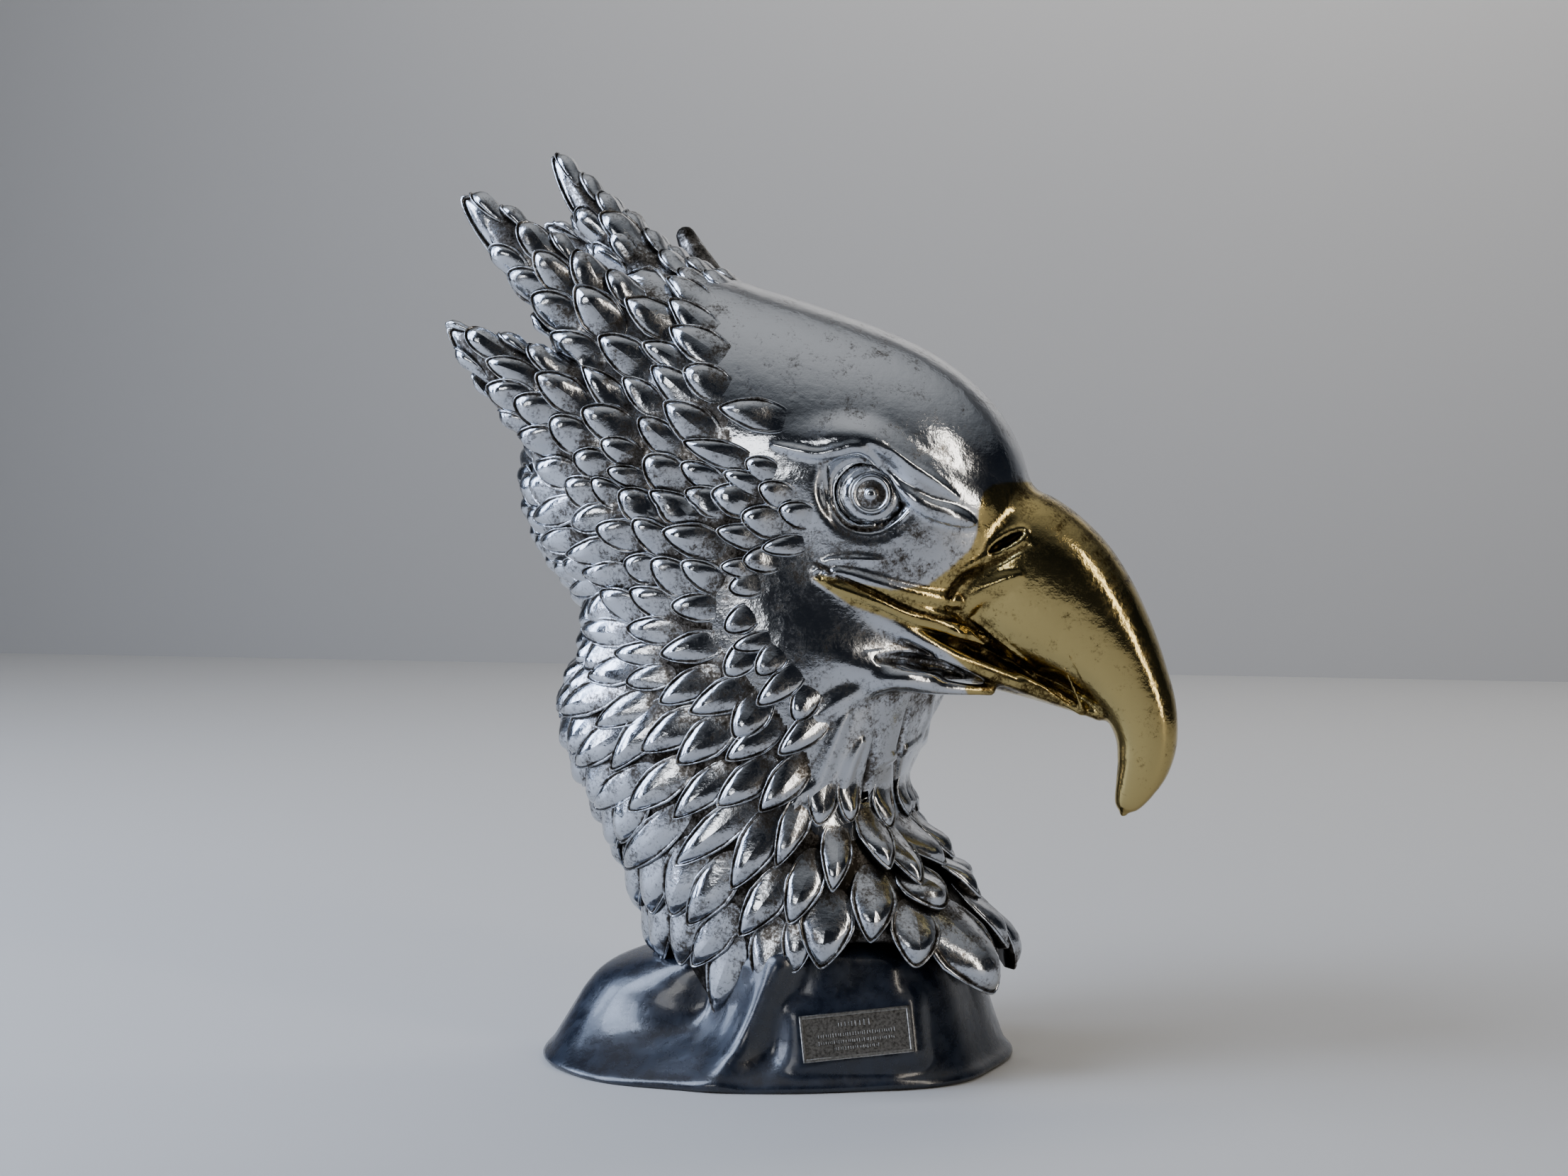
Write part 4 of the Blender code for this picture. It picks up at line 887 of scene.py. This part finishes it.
def leaf_form(length, width, pointed, lift, plump, root_tone):
    """A leaf on flat ground: place along, place across, height, and its tone of wear with painted shadow
    on the skirt.
    """
    turn = np.linspace(0, 2 * math.pi, LEAF_POINTS, endpoint=False)
    t = 0.5 - 0.5 * np.cos(turn)
    side = np.where(np.sin(turn) >= 0, 1.0, -1.0)
    belly = np.sqrt(np.clip(4 * t * (1 - t), 0, 1)) * (1.06 - 0.12 * t)
    taper = np.clip((1 - t) / 0.5, 0, 1)
    shape = belly * (1 - pointed * (1 - taper ** 0.75))
    edge_a, edge_b = (t - 0.5) * length, side * shape * width / 2
    spine = np.clip(edge_a, -0.2 * length, 0.26 * length)
    rows = []
    for q in LEAF_RINGS:
        a, b = spine + (edge_a - spine) * q, edge_b * q
        along = a / length + 0.5
        rise = leaf_rise(along, lift)
        round_up = plump * max(0.0, 1 - (q / 0.79) ** 2.3)
        crown = np.clip(along / 0.66, 0, 1) ** 2.1 * (1 - 0.35 * np.clip((along - 0.68) / 0.32, 0, 1))
        tip = np.clip((along - 0.22) / 0.3, 0, 1)
        groove = math.exp(-((q - 0.815) / 0.045) ** 2) * tip
        bead = math.exp(-((q - 0.91) / 0.05) ** 2) * tip
        height = rise + round_up * crown - 0.22 * groove + 0.4 * bead - 0.2 * (q == 1.0)
        wear_and_painted_shade = root_tone + (0.8 - root_tone) * np.clip((along - 0.12) / 0.3, 0, 1)
        wear_and_painted_shade = wear_and_painted_shade - 0.75 * groove - 0.12 * bead
        rows.append((a, b, height, wear_and_painted_shade))
    for inset, down in LEAF_SKIRT:
        a, b = spine + (edge_a - spine) * inset, edge_b * inset
        # Painted shadow: the skirt under the edge is darker the deeper it hangs.
        rows.append((a, b, leaf_rise(a / length + 0.5, lift) - down, np.full(len(a), 0.3 - 0.2 * down)))
    return rows


def leaf_rise(along, lift):
    """How far the leaf stands off its ground, from its sunken root to its free tip."""
    climb = np.clip(along / 0.8, 0, 1)
    return -0.22 + (lift + 0.22) * climb ** 2 * (3 - 2 * climb)


def lay_leaves(name, places, mirrored, free=False):
    """All the leaves of a group as one piece, settled on the clay or standing free of it."""
    one = ring_quads(len(LEAF_RINGS) + len(LEAF_SKIRT), LEAF_POINTS)[:, [0, 3, 2, 1]]
    all_points, all_faces, all_wear_and_painted_shade, count = [], [], [], 0
    for p, flow, n, length, width, far, blend in places:
        cross = np.cross(n, flow)
        turn = 0.0 if free else math.radians(rng.normal(0, 2.5))
        way = flow * math.cos(turn) + cross * math.sin(turn)
        cross = cross * math.cos(turn) - flow * math.sin(turn)
        grown = 1.0 if free else min(1, 0.8 + far / 60) * rng.uniform(0.97, 1.06)
        length, width = length * LEAF_OVERLAP * grown, width * LEAF_SPREAD * grown
        long = np.clip((length - LONG_FROM) / LONG_OVER, 0, 1)
        lift = (LEAF_LIFT + LONG_LIFT * long) * rng.uniform(0.85, 1.15) * min(1, 0.5 + far / 14)
        lift *= min(1, max(0.2, (p[0] - CREST_BACK) / CREST_FADE),
                    max(0.2, (CREST_TOP - p[2]) / CREST_FADE))
        pointed = LEAF_BLUNT + LONG_POINT * long
        rows = leaf_form(length, width, BLADE_POINT if free else pointed, BLADE_LIFT if free else lift,
                         LEAF_PLUMP * width, 0.46 + 0.4 * blend)
        a, b, h, wear_and_painted_shade = (np.concatenate([row[k] for row in rows]) for k in range(4))
        ground = p + a[:, None] * way + b[:, None] * cross
        out = np.repeat(n[None], len(a), axis=0)
        h = np.maximum(h, -0.2) if free else h
        if not free:
            flat = ground
            ground, out = core_field.settle(flat)
            astray = np.linalg.norm(ground - flat, axis=1) > 0.3 * length
            ground, out = np.where(astray[:, None], p, ground), np.where(astray[:, None], n, out)
        all_points.append(ground + h[:, None] * out)
        all_faces.append(one + count)
        all_wear_and_painted_shade.append(wear_and_painted_shade)
        count += len(a)
    points, faces, wear_and_painted_shade = (np.concatenate(parts) for parts in (all_points, all_faces, all_wear_and_painted_shade))
    points[:, 0] = np.maximum(points[:, 0], CREST_REACH)
    if mirrored:
        points, faces = points * [1, -1, 1], faces[:, ::-1]
    piece = mesh_piece(name, points, faces, None, {"wear_and_painted_shade": wear_and_painted_shade, "gold": np.zeros(len(points))})
    piece.data.materials.append(silver)
    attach(piece, "root")
    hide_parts("eagle_bust")


def blades(table):
    """Flat feathers that stand free at the ends of the crest, each with a face on either side."""
    leaves = []
    for root, tip, facing, width in table:
        root, tip, facing = (np.array(v, float) * [1, -1, 1] for v in (root, tip, facing))
        length = np.linalg.norm(tip - root)
        flow = (tip - root) / length
        n = facing - (facing @ flow) * flow
        n /= np.linalg.norm(n)
        for up in (n, -n):
            leaves.append(((root + tip) / 2, flow, up, length / LEAF_OVERLAP, width / LEAF_SPREAD,
                           LAID_AWAY, 0.3))
    return leaves


points, faces = skin(core_clay, core_cut)
slope = core_field.read(points)[1]
slope = slope / np.maximum(np.linalg.norm(slope, axis=1), 1e-6)[:, None]
laid = seen_leaves(CREST_LEAVES + SIDE_LEAVES + CHEST_LEAVES)
filled = fill_leaves(points, slope, laid)
for side, mirrored in (("right", False), ("left", True)):
    lay_leaves("large_feathers_" + side, laid, mirrored)
    lay_leaves("crest_blades_" + side, blades(CREST_BLADES), mirrored, free=True)
    half = len(filled) // 2
    lay_leaves("small_feathers_" + side, filled[:half], mirrored)
    lay_leaves("back_feathers_" + side, filled[half:], mirrored)

# The horn.
# A short blunt spike of the same casting stands behind the crest, on the left side alone. It has
# no feathers, and is painted darker than they are, a painted shadow for the shade it stands in.
HORN = [(-36, 30, 214, 6), (-42.5, 35, 224, 4.2), (-46.8, 37.4, 231.4, 2.9)]
horn_clay = Clay((-56, 16, 206), (-24, 48, 240), 0.8)
grid = openvdb.FloatGrid()
grid.copyFromArray(np.ascontiguousarray(bar(horn_clay, HORN) / horn_clay.step, np.float32))
points, faces = grid.convertToQuads(0.0)
# Painted shadow: the horn's low tone stands for the shade it stands in behind the crest.
horn = mesh_piece("crest_horn", points * horn_clay.step + horn_clay.low, faces, None,
                  {"wear_and_painted_shade": np.full(len(points), 0.22), "gold": np.zeros(len(points))})
horn.data.materials.append(silver)
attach(horn, "root")
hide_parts("eagle_bust")

# The mound.
# It is cast resin under glossy blue-black lacquer, a rock with long soft folds and a thin foot.
FOOT = [
    (55.4, 13.5), (50, 26), (38, 39), (18, 47), (-6, 50), (-30, 47), (-52, 38), (-66, 22), (-72.5, 2),
    (-72, -16), (-66, -30), (-57, -39.8), (-45.2, -47), (-27.4, -49.4), (-14.4, -50), (5.6, -46.3),
    (24.6, -38.7), (43.2, -28.7), (49.9, -20), (53.7, -5.6)]
FOOT_CENTRE = (-5.0, -1.0)
FLANK_FRONT = [
    (0.985, 0.0), (1.0, 0.03), (0.99, 0.07), (0.955, 0.13), (0.925, 0.25), (0.9, 0.42), (0.88, 0.62),
    (0.865, 0.8), (0.835, 0.95), (0.7, 1.03), (0.45, 1.08), (0.2, 1.1)]
FLANK_HOLLOW = [
    (0.985, 0.0), (1.0, 0.03), (0.98, 0.08), (0.9, 0.16), (0.78, 0.26), (0.67, 0.37), (0.6, 0.52),
    (0.57, 0.72), (0.54, 0.92), (0.45, 1.03), (0.3, 1.08), (0.15, 1.1)]
FLANK_END = [
    (0.985, 0.0), (1.0, 0.03), (0.995, 0.07), (0.965, 0.15), (0.935, 0.27), (0.89, 0.45), (0.835, 0.65),
    (0.76, 0.82), (0.62, 0.96), (0.5, 1.02), (0.33, 1.07), (0.16, 1.1)]
# Bearing from the foot's centre in degrees, the shoulder's height, share of front and of hollow.
SHOULDER = [
    (0, 31, 0.5, 0), (20, 33, 0.8, 0), (50, 36, 1, 0), (80, 36, 0.95, 0.05), (100, 35, 0.45, 0.55),
    (120, 32, 0, 1), (140, 30, 0, 0.6), (160, 29.5, 0, 0.1), (180, 29.5, 0, 0)]
FOOT_STEPS = 320
FOOT_TRIM = 0.995
# The middle ring of the underside, as a share of the foot.
UNDERSIDE_SHARE = 0.02
# Folds down the flank: bearing at the foot, bearing at the shoulder, half width in degrees, depth.
FOLDS = [
    (-101, -80, 6, 3.0), (-88, -68, 6, -1.6), (-130, -118, 9, -1.5), (-43, -38, 5, 1.6),
    (-150, -145, 9, 1.5), (60, 72, 8, -2.2), (104, 90, 7, 2.6), (150, 150, 10, -2), (22, 24, 8, 1.2)]


def mound_rings():
    """Rings of points up the mound, in table millimetres."""
    angles = np.linspace(-math.pi, math.pi, FOOT_STEPS, endpoint=False)
    bearing = np.degrees(angles)
    radius = around(FOOT, FOOT_CENTRE, angles)
    c = curve_through(SHOULDER, 6)
    height, front, hollow = (np.interp(np.abs(bearing), c[:, 0], c[:, k]) for k in (1, 2, 3))
    front, hollow = np.clip(front, 0, 1), np.clip(hollow, 0, 1)
    end = 1 - front - hollow
    rings = []
    flanks = [curve_through(rows, 5) for rows in (FLANK_FRONT, FLANK_HOLLOW, FLANK_END)]
    for a, b, e in zip(*flanks):
        share, level = (a[k] * front + b[k] * hollow + e[k] * end for k in (0, 1))
        up = np.clip(level / 0.9, 0, 1)
        r = FOOT_TRIM * radius * share
        for foot, top, spread, depth in FOLDS:
            off = (bearing - (foot + (top - foot) * up) + 180) % 360 - 180
            r = r + depth * np.exp(-(off / spread) ** 2) * np.clip(level / 0.25, 0, 1) * (1.3 - 0.6 * up)
        x, y = FOOT_CENTRE[0] + r * np.cos(angles), FOOT_CENTRE[1] + r * np.sin(angles)
        rings.append(np.stack([x, y, level * height], axis=1))
    rings = [np.maximum(ring, [-1e3, -1e3, 0.0]) for ring in rings]
    keep, share = 1 - UNDERSIDE_SHARE, UNDERSIDE_SHARE
    underside = rings[0] * [share, share, 0] + [FOOT_CENTRE[0] * keep, FOOT_CENTRE[1] * keep, 0]
    return [underside] + rings


PLATE_WIDTH, PLATE_HEIGHT, PLATE_THICKNESS = 29.0, 12.0, 1.4
PLATE_SINK, SEAT_EASE, FLANGE_HEIGHT = 0.5, 7.0, 2.5
PLATE_BORDER, PLATE_FIELD_DEPTH = 0.9, 0.4
PLATE_CENTRE = (22.5, -36.9, 14.8)
PLATE_LEAN, PLATE_TURN, PLATE_TILT = math.radians(12), math.radians(19), math.radians(5)
plate_frame = (Matrix.Translation(PLATE_CENTRE) @ Matrix.Rotation(PLATE_TURN, 4, "Z")
               @ Matrix.Rotation(math.pi / 2 - PLATE_LEAN, 4, "X") @ Matrix.Rotation(PLATE_TILT, 4, "Z"))
plate_axes, plate_middle = np.array(plate_frame.to_3x3()), np.array(plate_frame.translation)

rings = mound_rings()
points = np.concatenate(rings)
on_plate = (points - plate_middle) @ plate_axes
beside = np.maximum(np.abs(on_plate[:, 0]) - PLATE_WIDTH / 2, 0)
above = np.maximum(np.abs(on_plate[:, 1]) - PLATE_HEIGHT / 2, 0)
share = np.clip(1 - np.hypot(beside, above) / SEAT_EASE, 0, 1)
share *= (np.abs(on_plate[:, 2]) < 2 * SEAT_EASE) & (points[:, 2] > FLANGE_HEIGHT)
floor_level = PLATE_SINK - PLATE_THICKNESS / 2
on_plate[:, 2] += (floor_level - on_plate[:, 2]) * share ** 2 * (3 - 2 * share)
points = on_plate @ plate_axes.T + plate_middle
mound = mesh_piece("mound", points, ring_quads(len(rings), FOOT_STEPS))
# Width of the waves that the brush leaves in the lacquer, in millimetres.
BRUSHED_WAVE = 4.54545


def lacquer_material():
    """Blue-black lacquer: nearly black, brushed on thick, so its clear coat mirrors a little softly."""
    material, tree, shader = new_material("blue black lacquered resin")
    place = add_node(tree, "ShaderNodeTexCoord").outputs["Object"]
    dust = noise(tree, place, BRUSHED_WAVE, 5.0, 0.65).outputs["Fac"]
    tone = ramp_between(tree, dust, [(0.35, "0C111B"), (0.75, "1C2431")])
    tree.links.new(tone, shader.inputs["Base Color"])
    tree.links.new(map_range(tree, dust, (0.3, 0.7), (0.2, 0.36)), shader.inputs["Roughness"])
    add_bump(tree, shader, dust, 0.3, 0.0006)
    shader.inputs["Coat Weight"].default_value = 0.35
    shader.inputs["Coat Roughness"].default_value = 0.1
    return material


mound.data.materials.append(lacquer_material())
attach(mound, "root")
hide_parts("base")

# The plate.
# It is a small cast pewter plate with a raised border, glued in its seat, and bears rows of shallow
# strokes: each row's level, its narrowest and widest stroke, and its length.
STROKE_ROWS = [(2.9, 0.9, 1.7, 9), (0.3, 0.55, 1.1, 20), (-1.5, 0.5, 1.0, 20), (-3.2, 0.5, 1.0, 12)]
# Grit of the casting in millimetres. The real grit is about 0.1 mm and is drawn coarser here.
GRIT = 0.666667
stroke_rng = np.random.default_rng(3)


def block(points, faces, low, high, bevel=0.0):
    """A box from corner to corner, its upper edges drawn in by the bevel."""
    start = len(points)
    for z, inset in ((low[2], 0.0), (high[2] - bevel, 0.0), (high[2], bevel)):
        for x, y in ((low[0], low[1]), (high[0], low[1]), (high[0], high[1]), (low[0], high[1])):
            middle_x, middle_y = (low[0] + high[0]) / 2, (low[1] + high[1]) / 2
            points.append((x - inset * np.sign(x - middle_x), y - inset * np.sign(y - middle_y), z))
    for k in (0, 4):
        for i in range(4):
            a, b = start + k + i, start + k + (i + 1) % 4
            faces.append((a, b, b + 4, a + 4))
    faces.append((start + 8, start + 9, start + 10, start + 11))
    faces.append((start + 3, start + 2, start + 1, start + 0))


points, faces = [], []
half_w, half_h, top = PLATE_WIDTH / 2, PLATE_HEIGHT / 2, PLATE_THICKNESS / 2
block(points, faces, (-half_w, -half_h, -top), (half_w, half_h, top - PLATE_FIELD_DEPTH))
FIELD_FACES = len(faces)
for low, high in (((-half_w, -half_h), (half_w, -half_h + PLATE_BORDER)),
                  ((-half_w, half_h - PLATE_BORDER), (half_w, half_h)),
                  ((-half_w, -half_h), (-half_w + PLATE_BORDER, half_h)),
                  ((half_w - PLATE_BORDER, -half_h), (half_w, half_h))):
    block(points, faces, (*low, -top), (*high, top), bevel=0.2)
for level, low_width, high_width, span in STROKE_ROWS:
    at = -span / 2
    while at < span / 2:
        wide = stroke_rng.uniform(low_width, high_width)
        tall = wide * stroke_rng.uniform(0.8, 1.1)
        lean = stroke_rng.uniform(0.2, 0.34) * wide
        low, high = (at, level - tall / 2, 0), (at + lean, level + tall / 2, top - 0.1)
        block(points, faces, low, high, bevel=0.08)
        at += wide * 0.75
plaque_points = np.array(points) @ plate_axes.T + plate_middle
plaque = mesh_piece("plaque_plate", plaque_points, np.array(faces))
plaque.data.shade_flat()
raised = np.arange(len(faces)) >= FIELD_FACES
plaque.data.polygons.foreach_set("material_index", raised.astype(np.int32))


def pewter_material(name, tone, dark, roughness):
    """Cast pewter: dull and dark where it is sunk, rubbed brighter on what stands up."""
    material, tree, shader = new_material(name)
    place = add_node(tree, "ShaderNodeTexCoord").outputs["Object"]
    cast = noise(tree, place, GRIT, 3.0, 0.6).outputs["Fac"]
    tree.links.new(ramp_between(tree, cast, [(0.3, dark), (0.6, tone)]), shader.inputs["Base Color"])
    add_bump(tree, shader, cast, 0.4, 0.0001)
    shader.inputs["Metallic"].default_value = 1.0
    shader.inputs["Roughness"].default_value = roughness
    return material


plaque.data.materials.append(pewter_material("dull cast pewter", "6F6D69", "3A3835", 0.5))
plaque.data.materials.append(pewter_material("rubbed pewter", "C9C6BF", "8E8B85", 0.3))
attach(plaque, "root")
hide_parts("plaque")

# The camera and the light.
# The figure stands on a pale floor before a grey wall, with large soft windows to its left, a thin
# strip to its right and a dim room around, which its polished skin mirrors.
CAMERA_LENS = 53.7
FLOOR_HALF = 1.6
WALL_SIZE, WALL_AWAY = 5, 1.5
camera = bpy.data.objects.new("camera", bpy.data.cameras.new("camera"))
bpy.context.scene.collection.objects.link(camera)
bpy.context.scene.camera = camera
camera.data.lens = CAMERA_LENS
camera.data.sensor_width = 36
camera.location = to_world([VIEW_FROM])[0]
look = Vector(to_world([VIEW_AIM])[0]) - camera.location
camera.rotation_euler = look.to_track_quat("-Z", "Y").to_euler()

bpy.ops.mesh.primitive_plane_add(size=FLOOR_HALF * 2)
floor = bpy.context.object
floor.name = "floor"
floor_material, tree, shader = new_material("pale floor")
shader.inputs["Base Color"].default_value = to_linear("B6B3AE")
shader.inputs["Roughness"].default_value = 0.6
floor.data.materials.append(floor_material)
bpy.ops.mesh.primitive_plane_add(size=WALL_SIZE, location=(0, WALL_AWAY, 0), rotation=(math.pi / 2, 0, 0))
backdrop = bpy.context.object
backdrop.name = "backdrop"
backdrop_material, tree, shader = new_material("grey backdrop")
shader.inputs["Base Color"].default_value = to_linear("A09C96")
shader.inputs["Roughness"].default_value = 0.9
backdrop.data.materials.append(backdrop_material)


def soft_light(name, place, size, power, tint, aim=(0, 0, 0.12)):
    """A rectangular light of so many watts, turned to its aim."""
    light = bpy.data.lights.new(name, "AREA")
    light.shape = "RECTANGLE"
    light.size, light.size_y = size
    light.energy = power
    light.color = to_linear(tint)[:3]
    lamp = bpy.data.objects.new(name, light)
    bpy.context.scene.collection.objects.link(lamp)
    lamp.location = place
    lamp.rotation_euler = (Vector(aim) - Vector(place)).to_track_quat("-Z", "Y").to_euler()
    return lamp


soft_light("window", (-0.85, -0.6, 0.95), (0.7, 0.7), 19, "D0E1FF")
soft_light("left_pane", (-1.25, -0.15, 0.42), (0.34, 0.62), 7, "CFE0FF")
soft_light("front_pane", (-1.05, -0.75, 0.36), (0.3, 0.5), 5, "DCE7FF")
soft_light("left_wall", (-1.45, -0.35, 0.85), (1.3, 0.9), 15, "C8DCFF")
soft_light("strip", (0.95, -0.55, 0.45), (0.12, 0.9), 3.5, "FFF4E4")
soft_light("front", (-0.25, -1.25, 0.35), (0.5, 0.25), 2.0, "FFFFFF")
# The two lights that wash the wall aren't mirrored in the skin; the lit wall is.
for wash in (soft_light("wall", (0.3, 0.7, 1.3), (1.2, 0.3), 12, "FFFFFF", aim=(0, WALL_AWAY, 0.25)),
             soft_light("upper_wall", (0, 0.75, 1.1), (1.2, 0.3), 11, "FFFFFF", aim=(0, WALL_AWAY, 1.6))):
    wash.visible_glossy = False
world = bpy.data.worlds.new("room")
bpy.context.scene.world = world
world.use_nodes = True
room = world.node_tree
sky = add_node(room, "ShaderNodeTexCoord")
split = add_node(room, "ShaderNodeSeparateXYZ", [("Vector", sky.outputs["Generated"])])
overhead = ramp_between(room, split.outputs["Z"], [
    (0.0, "36383D"), (0.25, "2B2F36"), (0.46, "1C212A"), (0.66, "84878B"), (1.0, "FFFFFF")])
backlight = room.nodes["Background"]
room.links.new(overhead, backlight.inputs["Color"])
backlight.inputs["Strength"].default_value = 0.65
